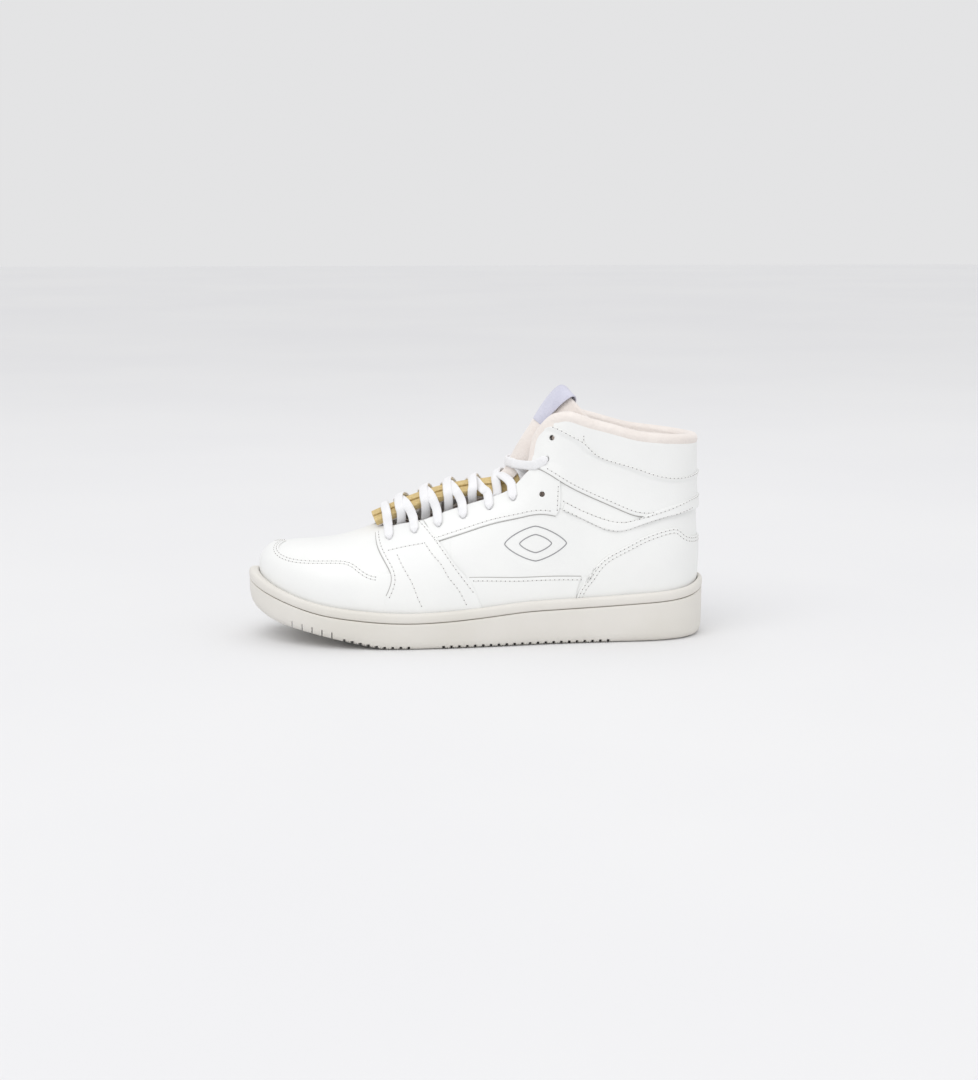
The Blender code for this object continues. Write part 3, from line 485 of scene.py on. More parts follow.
def shoelace():
    """the flat braid swept along its route, gathered to a round core in each hole and at its ends"""
    middle, run = spaced(lace_route(), LACE_STEP)
    holes = np.concatenate([last(*eyelet_places()[side][list(LACED)].T) for side in (-1, 1)])
    apart = np.min(np.linalg.norm(middle[:, None] - holes[None], axis=2), axis=1)
    ends = np.minimum(np.arange(len(middle)), np.arange(len(middle))[::-1])
    flat = ease(np.clip((apart - 1.6) / 1.8, 0, 1) * np.clip(ends / 8, 0, 1))
    wide = LACE_CORE / 2 + 0.4 + (LACE_WIDTH - LACE_CORE - 0.8) / 2 * flat
    thick = LACE_CORE / 2 + (LACE_THICK - LACE_CORE) / 2 * flat
    ahead = np.gradient(middle, axis=0)
    ahead /= np.linalg.norm(ahead, axis=1, keepdims=True)
    # the top span lies upright against the wing, and the tucked ends turn back
    upright = ease((middle[:, 2:] - 109) / 8) * ease((ends[:, None] - TUCKED) / 8)
    across = (1 - upright) * ACROSS_THROAT + upright * ACROSS_WING
    across -= ahead * np.sum(across * ahead, axis=1)[:, None]
    for _ in range(6):
        across[1:-1] = (across[:-2] + 2 * across[1:-1] + across[2:]) / 4
    across -= ahead * np.sum(across * ahead, axis=1)[:, None]
    across /= np.linalg.norm(across, axis=1, keepdims=True)
    outer = np.cross(ahead, across)
    turn = np.linspace(0, 2 * math.pi, LACE_SIDES + 1)[:-1]
    c, s = np.cos(turn), np.sin(turn)
    side, rise = np.sign(c) * np.abs(c) ** 0.75, np.sign(s) * np.abs(s) ** 0.8
    rings = (middle[:, None] + across[:, None] * (wide[:, None] * side)[..., None]
             + outer[:, None] * (thick[:, None] * rise)[..., None])
    bm = bmesh.new()
    verts = [[bm.verts.new(p * MM) for p in ring] for ring in rings]
    place = bm.loops.layers.uv.new("along")
    step = run / (len(middle) - 1)
    for i, (a, b) in enumerate(zip(verts, verts[1:])):
        for j in range(LACE_SIDES):
            k = (j + 1) % LACE_SIDES
            face = bm.faces.new((a[j], b[j], b[k], a[k]))
            corners = ((i, j), (i + 1, j), (i + 1, j + 1), (i, j + 1))
            for loop, (row, column) in zip(face.loops, corners):
                loop[place].uv = (side[column % LACE_SIDES] * wide[row], row * step)
    bm.faces.new(verts[0])
    bm.faces.new(verts[-1][::-1])
    bmesh.ops.recalc_face_normals(bm, faces=bm.faces)
    made = piece("shoelace", bm, braid())
    kept(made, "shoe", "lace", "lace")


shoelace()
aglet_film, _, aglet_shader = shader_of("aglet_film", (0.92, 0.92, 0.93), 0.18)
aglet_shader.inputs["Coat Weight"].default_value = 0.6
for aglet in ("aglet_lateral", "aglet_medial"):
    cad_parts[aglet].data.materials.clear()
    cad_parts[aglet].data.materials.append(aglet_film)


# ---------------------------------------------------------------- the cupsole
# One moulding of cream rubber: a wall that the upper is glued and stitched into, a rounded lip above
# a fine groove, transverse tread grooves underneath and tall slits up the toe.
SOLE_WALL = 5.0             # how far the wall stands out from the last
SOLE_FLOOR = 7.0
LIP_BAND = 6.5              # height of the band above the groove
GROOVE_DEPTH = 1.3
TREAD_PITCH = 5.1
TREAD_RUNS = ((-88, 9), (-25, 22))      # x of the first groove, and how many
TREAD_FLOOR_X = -60.0       # ahead of this the tread curves up
TREAD_SPRING = 0.21
TREAD_GROOVE = (1.7, 4.8)   # width, and twice the depth
TREAD_SIPE = (0.35, 2.6)    # three fine cuts between grooves
TOE_SLITS = 5
AROUND_STEPS = 24           # points of the moulding between two ribs
RING = AROUND * AROUND_STEPS
RING_S = np.arange(RING) / AROUND_STEPS


def tread_height(x):
    """height of the tread: flat, then curving up under the toe"""
    ahead = np.maximum(TREAD_FLOOR_X - x, 0)
    spring = TREAD_SPRING * (np.sqrt(ahead ** 2 + 36) - 6)
    return spring + 4 * (np.clip(-125 - x, 0, None) / 20) ** 2


def ring(offset, height):
    """the foot's outline moved outwards in plan; height is a number or a function of the ring's x"""
    line = last(RING_S, LIP)
    ahead = last(RING_S + 0.02, LIP) - last(RING_S - 0.02, LIP)
    out = np.stack([ahead[:, 1], -ahead[:, 0]], 1)
    out /= np.linalg.norm(out, axis=1, keepdims=True)
    line[:, :2] += out * np.broadcast_to(offset, RING)[:, None]
    line[:, 2] = height(line[:, 0]) if callable(height) else height
    return line


def moulded(name, rings, finish, shaded_ring=None):
    """a solid between rings, from its underside up its outside and down its inside"""
    bm = bmesh.new()
    groove_shade = bm.verts.layers.float.new("groove_shade")
    verts = [[bm.verts.new(p * MM) for p in r] for r in rings]
    # the given ring is marked for painted shade, dark where the groove's shadow falls
    for v in verts[shaded_ring] if shaded_ring else ():
        v[groove_shade] = 1
    for a, b in zip(verts, verts[1:]):
        for i in range(RING):
            k = (i + 1) % RING
            bm.faces.new((a[i], a[k], b[k], b[i]))
    for cap in (verts[0], verts[-1]):
        for i in range(RING // 2):
            corners = [cap[i], cap[i + 1], cap[RING - i - 1], cap[(RING - i) % RING]]
            bm.faces.new(list(dict.fromkeys(corners)))
    bmesh.ops.recalc_face_normals(bm, faces=bm.faces)
    return piece(name, bm, finish)


def cream_rubber():
    """moulded rubber, a little dusty, with painted shade darkening the floor of the groove"""
    finish, tree, shader = shader_of("cream_rubber", (0.82, 0.80, 0.755), 0.48)
    place = node(tree, "ShaderNodeTexCoord").outputs["Object"]
    ramp = mottled(tree, shader, place, (0.76, 0.735, 0.69), (0.72, 0.695, 0.64), 16.0)
    # painted shade: the marked ring at the floor of the groove is mixed towards a deep brown
    groove_shade = node(tree, "ShaderNodeAttribute", attribute_name="groove_shade")
    groove_shade_mix = node(tree, "ShaderNodeMix", [("Factor", groove_shade.outputs["Fac"])], data_type="RGBA")
    tree.links.new(ramp.outputs["Color"], groove_shade_mix.inputs["A"])
    groove_shade_mix.inputs["B"].default_value = (0.22, 0.18, 0.13, 1)
    tree.links.new(groove_shade_mix.outputs["Result"], shader.inputs["Base Color"])
    grit = node(tree, "ShaderNodeTexNoise", [("Vector", place)], Scale=900.0, Detail=2.0)
    bump = node(tree, "ShaderNodeBump", [("Height", grit.outputs["Fac"])], Strength=0.25, Distance=0.0002)
    tree.links.new(bump.outputs[0], shader.inputs["Normal"])
    return finish


def boxes(places):
    """an object of upright boxes to cut with, given as (x, z, width, height)"""
    bm = bmesh.new()
    for x, z, width, height in places:
        cube = bmesh.ops.create_cube(bm, size=1)
        size = Matrix.Diagonal((width * MM, 0.16, height * MM, 1))
        place = Matrix.Translation(Vector((x, 0, z)) * MM) @ size
        bmesh.ops.transform(bm, matrix=place, verts=cube["verts"])
    mesh = bpy.data.meshes.new("cutter")
    bm.to_mesh(mesh)
    bm.free()
    cutter = bpy.data.objects.new("cutter", mesh)
    bpy.context.scene.collection.objects.link(cutter)
    return cutter


def cut_by(obj, cutter, keep_cutter=False):
    """takes one shape out of another"""
    cut = obj.modifiers.new("cut", "BOOLEAN")
    cut.object = cutter
    plain(obj)
    if not keep_cutter:
        bpy.data.objects.remove(cutter)


def wall_profile():
    """(outwards, height) of the moulding's rings: tread edge, wall, groove, lip and inside of the cup"""
    lip = last(RING_S, LIP)[:, 2] - 0.4
    groove = lip - LIP_BAND
    rib = np.minimum(RING_S, AROUND - RING_S)
    wall = SOLE_WALL + 2.6 * ease(1 - rib / 2) - 0.7 * ease((rib - 9) / 2)
    tread = tread_height(last(RING_S, LIP)[:, 0])
    floor_top = np.minimum(tread + SOLE_FLOOR, last(RING_S, 0)[:, 2] - 6.5)
    rounding = ((9, 0), (4.2, 0.25), (2.6, 0.9), (1.5, 2.1), (0.8, 3.8), (0.35, 6.2))
    profile = [(wall - inset, lambda x, up=up: tread_height(x) + up) for inset, up in rounding]
    profile += [(wall - 0.1, 0.5 * (tread + 6.2 + groove - 2)), (wall, groove - 2), (wall, groove - 0.9),
                (wall - 0.15, groove - 0.45), (wall - 0.5, groove - 0.3),
                (wall - GROOVE_DEPTH, groove - 0.1), (wall - GROOVE_DEPTH, groove + 0.15),
                (wall - 0.5, groove + 0.35), (wall - 0.1, groove + 0.5), (wall + 0.1, groove + 1.1),
                (wall + 0.25, groove + 2.4), (wall + 0.25, lip - 2.4), (wall, lip - 1.4),
                (wall - 0.5, lip - 0.65), (wall - 1.2, lip - 0.15), (wall - 2, lip)]
    profile += [(3.0, lip - 0.1), (1.7, lip - 0.5), (1.35, lip - 1.5), (1.3, lip - 5), (1.3, floor_top)]
    return profile


def outsole():
    """the moulding, with its tread grooves, fine sipes and toe slits cut out"""
    # ring 11 is the floor of the groove, darkened as painted shade
    sole = moulded("cupsole", [ring(*row) for row in wall_profile()], cream_rubber(), shaded_ring=11)
    grooves = []
    for first, count in TREAD_RUNS:
        for i in range(count):
            x = first + i * TREAD_PITCH
            base = float(tread_height(x + 0.7))
            grooves.append((x, base, *TREAD_GROOVE))
            if i < count - 1:
                grooves += [(x + TREAD_PITCH * k / 4, base, *TREAD_SIPE) for k in (1, 2, 3)]
    for i in range(TOE_SLITS):
        x, tall = -121 + i * 6.3, 11 - 1.6 * i
        grooves.append((x, float(tread_height(x)) - 2 * tall + 5, 0.7, 4 * tall))
    cut_by(sole, boxes(grooves))
    kept(sole, "shoe", "rubber", "outsole")


outsole()


# ---------------------------------------------------------------- boards, wedge and sockliner
# Inside the cupsole lie an EVA wedge and the stitched-in lasting board; the loose sockliner on top is
# foam faced with brushed cream textile, and lifts out from the heel.
def textile(name, light, dark, weave=620.0):
    """brushed lining cloth with a fine knit"""
    finish, tree, shader = shader_of(name, light, 0.88)
    shader.inputs["Sheen Weight"].default_value = 0.35
    place = node(tree, "ShaderNodeTexCoord").outputs["Object"]
    mottled(tree, shader, place, light, dark, 60.0)
    knit = node(tree, "ShaderNodeTexVoronoi", [("Vector", place)], Scale=weave)
    bump = node(tree, "ShaderNodeBump", [("Height", knit.outputs["Distance"])], Strength=0.6,
                Distance=0.0004)
    tree.links.new(bump.outputs[0], shader.inputs["Normal"])
    return finish


def open_foam(name, light, dark):
    """cut foam or fibre with open cells"""
    finish, tree, shader = shader_of(name, light, 0.95)
    place = node(tree, "ShaderNodeTexCoord").outputs["Object"]
    mottled(tree, shader, place, light, dark, 420.0, 0.8)
    cells = node(tree, "ShaderNodeTexVoronoi", [("Vector", place)], Scale=1500.0)
    bump = node(tree, "ShaderNodeBump", [("Height", cells.outputs["Distance"])], Strength=0.9,
                Distance=0.0005)
    tree.links.new(bump.outputs[0], shader.inputs["Normal"])
    return finish


CREAM_TEXTILE = textile("cream_textile", (0.80, 0.715, 0.65), (0.74, 0.65, 0.58))
TAN_FOAM = open_foam("tan_foam", (0.80, 0.63, 0.32), (0.66, 0.49, 0.21))
WHITE_FOAM = open_foam("white_foam", (0.72, 0.70, 0.64), (0.62, 0.60, 0.55))
FIBRE_BOARD = open_foam("fibre_board", (0.70, 0.66, 0.58), (0.60, 0.56, 0.48))
INNER_NODES = {
    "midsole_wedge": WHITE_FOAM, "strobel_board": FIBRE_BOARD, "toe_puff": FIBRE_BOARD,
    "heel_counter": FIBRE_BOARD, "eyelet_backer_lateral": FIBRE_BOARD, "eyelet_backer_medial": FIBRE_BOARD}
for inner, finish in INNER_NODES.items():
    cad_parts[inner].data.materials.clear()
    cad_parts[inner].data.materials.append(finish)


def sockliner():
    """a dished foam bed with a rounded rim, a little inside the feather edge"""
    feather = last(RING_S, 0)[:, 2]
    dish = ((-7.4, -0.6), (-7.2, 0.6), (-7.3, 2.2), (-7.8, 3.1), (-8.8, 3.5), (-11, 3.4), (-16, 3.0),
            (-22, 2.8))
    bed = moulded("sock", [ring(out, feather + up) for out, up in dish], CREAM_TEXTILE)
    kept(bed, "insole", "lining", "sockliner")


sockliner()


# ---------------------------------------------------------------- the vamp and quarters
# Cut from 1.1 mm coated leather and drawn over the last: the vamp covers the toes up to the throat,
# and a quarter on each side runs back to the heel. Every other panel is sewn on top of these.
FEATHER = 0.0               # any height at or below the feather edge, hidden in the cupsole
THROAT = ((-58, 74.4), (-52.6, 75), (-37, 79.1), (-20.6, 83.9), (-6.9, 88.1), (8.5, 92.7), (22.5, 99.9))
QUARTER_TOP = ((-20, 71.2), (8.5, 80), (25, 86), (38, 92), (48, 104), (51, 118), (54, 131), (60, 136.5),
               (70, 135), (90, 130.5), (115, 126), (144, 124))
HOLE = 3.5                  # punched lace holes
QUARTER_FRONT = -20         # x where the quarter meets the vamp, under the saddle
VAMP_REACH = 4.64           # rib where the vamp ends on either side


def coated_leather(name, light, dark, roughness=0.42):
    """smooth white leather: a fine tight grain and a few soft creases under a satin coat"""
    finish, tree, shader = shader_of(name, light, roughness)
    shader.inputs["Specular IOR Level"].default_value = 0.45
    shader.inputs["Coat Weight"].default_value = 0.12
    shader.inputs["Coat Roughness"].default_value = 0.35
    place = node(tree, "ShaderNodeTexCoord").outputs["Object"]
    mottled(tree, shader, place, light, dark, 22.0)
    grain = node(tree, "ShaderNodeTexVoronoi", [("Vector", place)], feature="SMOOTH_F1", Scale=1100.0)
    pores = node(tree, "ShaderNodeBump", [("Height", grain.outputs["Distance"])], Strength=0.22,
                 Distance=0.0002)
    creases = node(tree, "ShaderNodeTexNoise", [("Vector", place)], Scale=38.0, Detail=2.0, Roughness=0.4)
    soft = node(tree, "ShaderNodeBump", [("Height", creases.outputs["Fac"]), ("Normal", pores.outputs[0])],
                Strength=0.22, Distance=0.004)
    tree.links.new(soft.outputs[0], shader.inputs["Normal"])
    satin = node(tree, "ShaderNodeMapRange", [("Value", creases.outputs["Fac"])])
    satin.inputs["To Min"].default_value = roughness - 0.05
    satin.inputs["To Max"].default_value = roughness + 0.08
    tree.links.new(satin.outputs[0], shader.inputs["Roughness"])
    return finish


WHITE_LEATHER = coated_leather("white_leather", (0.88, 0.885, 0.87), (0.855, 0.86, 0.85))


def ruled(low, high, rows):
    """a grid of (s, t) between two lines of as many points"""
    v = np.linspace(0, 1, rows)[None, :, None]
    return low[:, None, :] * (1 - v) + high[:, None, :] * v


def coons(foot, top, front=None, rear=None, step=1.7):
    """a grid of (s, t) filling four (x, z) outlines; a straight front or rear may be left out"""
    front = front or (foot[0], top[0])
    rear = rear or (foot[-1], top[-1])
    columns = round(max(length(curve(k, 24)) for k in (foot, top)) / step) + 1
    rows = round(max(length(curve(k, 24)) for k in (front, rear)) / step) + 1
    low, high = curve(foot, columns)[:, None], curve(top, columns)[:, None]
    left, right = curve(front, rows)[None], curve(rear, rows)[None]
    u = np.linspace(0, 1, columns)[:, None, None]
    v = np.linspace(0, 1, rows)[None, :, None]
    corners = ((1 - u) * (1 - v) * low[:1] + (1 - u) * v * high[:1]
               + u * (1 - v) * low[-1:] + u * v * high[-1:])
    return (1 - v) * low + v * high + (1 - u) * left + u * right - corners


def column_grid(s, foot, top, rows):
    """a grid of (s, t) with upright columns on the ribs s"""
    foot, top = np.broadcast_to(foot, s.shape), np.broadcast_to(top, s.shape)
    return ruled(*(np.stack([s, k], 1) for k in (foot, top)), rows)


def mirrored(st):
    """the same grid on the other side of the shoe"""
    other = st[::-1].copy()
    other[..., 0] = AROUND - other[..., 0]
    return other


def wrapped(st):
    """a grid that ends at the heel, carried on round to the inner side"""
    return np.concatenate([st, mirrored(st)[1:]])


def sheet_of(name, points, finish, thickness, edge=0.3):
    """a panel through rows of points in mm on its outer face, with its thickness and eased edges"""
    bm = bmesh.new()
    verts = [[bm.verts.new(p * MM) for p in row] for row in points]
    for a, b in zip(verts, verts[1:]):
        for j in range(len(a) - 1):
            bm.faces.new((a[j], b[j], b[j + 1], a[j + 1]))
    bmesh.ops.remove_doubles(bm, verts=bm.verts, dist=0.02 * MM)
    bmesh.ops.dissolve_degenerate(bm, edges=bm.edges, dist=0.01 * MM)
    made = piece(name, bm, finish)
    wall = made.modifiers.new("wall", "SOLIDIFY")
    wall.thickness = thickness * MM
    wall.offset = -1
    if edge:
        eased = made.modifiers.new("edge", "BEVEL")
        eased.width = edge * MM
        eased.segments = 2
        eased.limit_method = "ANGLE"
        eased.angle_limit = math.radians(50)
        eased.use_clamp_overlap = False
    return plain(made)


def panel(name, st, height, thickness=LEATHER, finish=WHITE_LEATHER):
    """a panel over a grid of (s, t), its outer face height mm above the last"""
    s, t = st[..., 0], st[..., 1]
    points = last(s, t) + normals(s, t) * np.broadcast_to(height, s.shape)[..., None]
    return sheet_of(name, points, finish, thickness)


def both_sides(name, st, height, thickness=LEATHER, finish=WHITE_LEATHER):
    """the panel and its twin: -1 is the outer side, 1 the inner"""
    height = np.broadcast_to(height, st.shape[:2])
    return {-1: panel(name + "_outer", st, height, thickness, finish),
            1: panel(name + "_inner", mirrored(st), height[::-1], thickness, finish)}


PUNCH = {}
for punch_side, punch_places in eyelet_places().items():
    drills = bmesh.new()
    for s, t in punch_places:
        out = normals(s, t)
        drill = bmesh.ops.create_cone(drills, cap_ends=True, segments=20, radius1=HOLE / 2 * MM,
                                      radius2=HOLE / 2 * MM, depth=24 * MM)
        turn = Vector(out).to_track_quat("Z", "Y").to_matrix().to_4x4()
        bmesh.ops.transform(drills, matrix=Matrix.Translation(Vector(last(s, t) - out * 3) * MM) @ turn,
                            verts=drill["verts"])
    PUNCH[punch_side] = piece("punch", drills, WHITE_LEATHER)


def punched(obj, *sides):
    """the panel with its lace holes"""
    for side in sides:
        cut_by(obj, PUNCH[side], keep_cutter=True)
    return obj


def keep_pair(pair, slot, node_name, holes=True):
    """both panels stand for the nodes of the two sides"""
    for side, word in ((-1, "lateral"), (1, "medial")):
        if holes:
            punched(pair[side], side)
        kept(pair[side], "shoe", slot, f"{node_name}_{word}")


def throat_top(s):
    """top of the vamp on rib s: the middle line ahead of the throat, then the throat's edge"""
    return np.interp(np.abs(s), (3.38, 3.52, 3.7, 4.2, 4.6), (TOP, 5.3, 4.9, 4.66, 4.7))


vamp_s = np.linspace(-VAMP_REACH, VAMP_REACH, 150)
vamp = punched(panel("toe_box", column_grid(vamp_s, FEATHER, throat_top(vamp_s), 60), 0.0), -1, 1)
kept(vamp, "shoe", "white_leather", "vamp")
quarter_grid = coons(((QUARTER_FRONT, FEATHER), (144.5, FEATHER)), QUARTER_TOP, step=2.4)
quarter_grid[-1, :, 0] = HEEL - 0.004
quarter = both_sides("side_quarter", quarter_grid, 0.0)
keep_pair(quarter, "white_leather", "quarter")


# ---------------------------------------------------------------- the overlays
# Toe cap, saddle, eyestay, foxing, heel wrap, heel strap, ankle wing and collar band: separate cuts of
# the same leather, laid over the vamp and quarters with their edges left raw and rounded by wear.
WING_FRONT = ((34.5, 115), (35.4, 122), (37.6, 131), (40.5, 138))
COLLAR_EDGE = ((43, 141.5), (50, 143.8), (57, 143.3), (70, 139), (90, 133.5), (115, 128.8), (144, 127))
BAND_FOOT = ((46.9, 137.6), (57.7, 132.2), (65.2, 128), (71.7, 121.5), (84.3, 115.5), (103, 109.6),
             (125, 103.6), (144, 106))
WING_FOOT = ((37.1, 112.5), (47.7, 106.9), (64.2, 97.4), (89.4, 86), (108, 81), (129, 84), (144, 86))
STRAP_TOP = ((54, 90.6), (71.7, 82.2), (89.4, 77.3), (102.5, 80), (122.7, 87), (144, 92.5))
STRAP_FOOT = ((52.5, 86), (70.8, 77.5), (89.4, 72.1), (109.1, 77.7), (127.4, 81.6), (144, 84))
WRAP_TOP = ((61.5, FEATHER), (62, 31), (69.9, 43), (82.8, 56.9), (101.4, 66.4), (124.8, 73.2),
            (134.1, 67.4), (144.5, 65.2))
EYESTAY_FOOT = ((-29, 66.6), (-6.9, 73.3), (12.3, 78.7), (30, 82.6), (48, 82.4))
SADDLE_FRONT = ((-66.5, FEATHER), (-61, 34.5), (-57.5, 45.5), (-61.8, 55.5), (-66, 64), (-66.5, 70.5))
SADDLE_REAR = ((3.5, FEATHER), (-5, 36.9), (-15.5, 50.5), (-26.7, 66.1), (-37, 77.5))
TOE_CAP_EDGE = ((0, 4.3), (0.5, 3.75), (1, 3.35), (1.5, 3.28), (2, 3.45), (2.7, 3.6), (3.05, 3.25),
                (3.3, 2.85), (3.6, 2.75))       # (rib, place on the rib)
CAP_REACH = 3.45            # rib where the toe cap meets the saddle
CAP_BLEND = 12              # columns over which its rear edge is fitted
LAP = 0.95                  # how far a panel climbs where it laps over another


def grid_uv(st):
    """shares of the way along and up a grid"""
    u = np.linspace(0, 1, st.shape[0])[:, None]
    v = np.linspace(0, 1, st.shape[1])[None, :]
    return u, v


toe_line = spline_weights(9, np.linspace(0, 8, 161), False) @ np.array(TOE_CAP_EDGE)
cap_s = np.linspace(-CAP_REACH, CAP_REACH, 150)
cap_grid = column_grid(cap_s, 0.05, np.interp(np.abs(cap_s), *toe_line.T), 34)
cap_front = curve(SADDLE_FRONT, 60)
for end, sign in ((-1, 1), (0, -1)):            # its rear edges follow the saddle's front edge
    reach = np.interp(cap_grid[end, :, 1], cap_front[:, 1], cap_front[:, 0]) + 0.03
    pull = sign * (reach - CAP_REACH)
    cap_grid[end, :, 0] = sign * reach
    for i in range(1, CAP_BLEND):
        cap_grid[end - sign * i, :, 0] += pull * ease(1 - i / CAP_BLEND)
toe_cap = panel("toe_cap_leather", cap_grid, OVERLAY)
kept(toe_cap, "shoe", "white_leather", "toe_cap")

eyestay_top = ((-36, 78.3),) + THROAT[3:] + ((35.2, 113), (51, 105))
eyestay_grid = coons(EYESTAY_FOOT, eyestay_top, rear=(EYESTAY_FOOT[-1], (51, 89), eyestay_top[-1]))
eyestay = both_sides("eyestay_leather", eyestay_grid, OVERLAY - 0.1)
keep_pair(eyestay, "white_leather", "eyestay")

foxing_top = ((-13.5, 44.6), (31.4, 43.6), (64.6, 43.2))
foxing_grid = coons(((2, FEATHER), (60.8, FEATHER)), foxing_top, ((2, FEATHER), (-8.2, 37.2), foxing_top[0]),
                    ((60.8, FEATHER), (61.2, 31.5), foxing_top[-1]))
foxing = both_sides("foxing_leather", foxing_grid, OVERLAY - 0.1, 0.9)
keep_pair(foxing, "white_leather", "foxing", holes=False)

saddle_grid = coons((SADDLE_FRONT[0], SADDLE_REAR[0]), (SADDLE_FRONT[-1], THROAT[1], SADDLE_REAR[-1]),
                    SADDLE_FRONT, SADDLE_REAR, step=1.5)
saddle_u, _ = grid_uv(saddle_grid)
saddle = both_sides("saddle_leather", saddle_grid, OVERLAY + LAP * ease((saddle_u - 0.72) / 0.2))
keep_pair(saddle, "white_leather", "saddle")

wrap_grid = coons(((61.5, FEATHER), (144.5, FEATHER)), WRAP_TOP[2:], WRAP_TOP[:3])
wrap_grid[-1, :, 0] = HEEL
heel_wrap = panel("heel_wrap", wrapped(wrap_grid), OVERLAY)
kept(heel_wrap, "shoe", "white_leather", "heel_overlay")

WING_TOP = tuple((x + 0.6, z + 1.8) for x, z in BAND_FOOT)
wing_grid = coons(WING_FOOT, WING_TOP, WING_FOOT[:1] + WING_FRONT[:3] + ((42, 137.2), WING_TOP[0]))
wing_grid[-1, :, 0] = HEEL - 0.006
_, wing_v = grid_uv(wing_grid)
wing_x = last(wing_grid[..., 0], wing_grid[..., 1])[..., 0]
wing_lap = ease((wing_v - 0.78) / 0.14) + ease((56 - wing_x) / 6) * ease((0.3 - wing_v) / 0.2)
wing = both_sides("ankle_wing", wing_grid, OVERLAY + LAP * wing_lap)
keep_pair(wing, "white_leather", "ankle_overlay")

strap_grid = coons(STRAP_FOOT, STRAP_TOP)
strap_grid[-1, :, 0] = HEEL
strap_x = last(strap_grid[..., 0], strap_grid[..., 1])[..., 0]
strap_height = OVERLAY + LAP * ease((strap_x - 97) / 10)
strap_height = np.concatenate([strap_height, strap_height[::-1][1:]])
heel_strap = panel("heel_strap_leather", wrapped(strap_grid), strap_height)
kept(heel_strap, "shoe", "white_leather", "heel_strap")

band_grid = coons(BAND_FOOT, ((47.5, 142.2), (50, 142.6)) + COLLAR_EDGE[2:])
band_grid[-1, :, 0] = HEEL
collar_band = panel("collar_band_leather", wrapped(band_grid), OVERLAY - 0.1)
kept(collar_band, "shoe", "white_leather", "collar_band")


# ---------------------------------------------------------------- the linings
# Pinkish cream textile glued behind the leather from the toes to the heel. Round the ankle it covers
# a foam ring, rolls up over the rim and stands a few millimetres above the leather's edge.
COLLAR_PAD = 4.0            # how far the ankle padding pushes the lining inwards
COLLAR_START = 6.37         # rib at whose foot the collar's lining begins
LINING_TEXTILE = textile("lining_textile", (0.86, 0.80, 0.755), (0.80, 0.735, 0.69))
COLLAR_ROLL = ((-2.1, -0.7), (-1.0, -0.5), (0.2, -0.05), (1.5, 0.2), (2.6, 0), (3.5, -0.8), (4.1, -2.1),
               (4.1, -3.7), (3.4, -5.4), (2.1, -6.9))      # (beyond the rim, outwards)


def lining_depth(s, t):
    """outer face of the lining, pushed in by the foam round the ankle"""
    padded = ease((np.minimum(s, AROUND - s) - 6.75) / 0.45) * ease((t - 3.7) / 1.1)
    return LINING_FACE - COLLAR_PAD * padded


def rim_height(s):
    """place on rib s of the throat's edge, and of the collar's rim behind it"""
    ribs = (3.6, 3.8, 4.2, 4.6, 4.95, 5.4, 5.9, 6.2, 6.4, 6.55, 6.75, 6.9)
    places = (5.1, 4.8, 4.68, 4.72, 4.82, 4.95, 5.05, 5.15, 5.5, 5.75, 5.86, 5.9)
    return np.interp(np.minimum(s, AROUND - s), ribs, places)


def on_last(st, height):
    """points height mm above the last"""
    return last(st[..., 0], st[..., 1]) + normals(st[..., 0], st[..., 1]) * np.asarray(height)[..., None]


def edge_ways(st):
    """outward and beyond-the-edge directions along a line of (s, t) that runs from toe to heel"""
    p, out = last(st[:, 0], st[:, 1]), normals(st[:, 0], st[:, 1])
    ahead = np.gradient(p, axis=0)
    beyond = np.cross(out, ahead)
    return p, out, beyond / np.linalg.norm(beyond, axis=1, keepdims=True)


lining_s = np.linspace(-4.6, 4.6, 90)
vamp_lining = column_grid(lining_s, 0.15, throat_top(lining_s) - 0.04, 40)
kept(punched(panel("vamp_textile", vamp_lining, LINING_FACE, LINING, LINING_TEXTILE), -1, 1),
     "shoe", "lining", "vamp_lining")
instep_s = np.linspace(4.61, 6.36, 44)
instep = both_sides("instep_textile", column_grid(instep_s, 0.15, rim_height(instep_s) - 0.04, 40),
                    LINING_FACE, LINING, LINING_TEXTILE)
keep_pair(instep, "lining", "instep_lining")

rim = curve(WING_FRONT[:3] + ((42, 137.2), (47.5, 142.2), (50, 142.6)) + COLLAR_EDGE[2:], 150)
rim[-1, 0] = HEEL
rim = np.concatenate([rim, mirrored(rim[:, None])[1:, 0]])
rim_at, rim_out, rim_beyond = edge_ways(rim)
foot_s = np.interp(np.linspace(0, 1, len(rim)), (0, 0.5, 1), (COLLAR_START, HEEL, AROUND - COLLAR_START))
wall = ruled(np.stack([foot_s, np.full(len(rim), 0.15)], 1), rim - (0, 0.02), 40)
wall_points = on_last(wall, lining_depth(wall[..., 0], wall[..., 1]))
roll_line = spline_weights(len(COLLAR_ROLL), np.linspace(0, len(COLLAR_ROLL) - 1, 34), False) @ COLLAR_ROLL
deepest = lining_depth(rim[:, 0], TOP) / (LINING_FACE - COLLAR_PAD)
roll = [rim_at + rim_beyond * b + rim_out * (a if a > 0 else a * deepest[:, None])
        for b, a in roll_line[::-1]]
collar_points = np.concatenate([wall_points[:, :-2], np.stack(roll, 1)], 1)
collar = sheet_of("collar_textile", collar_points, LINING_TEXTILE, LINING, edge=0)
kept(punched(collar, -1, 1), "shoe", "lining", "collar_lining", "collar_foam")

for spent in PUNCH.values():
    bpy.data.objects.remove(spent)


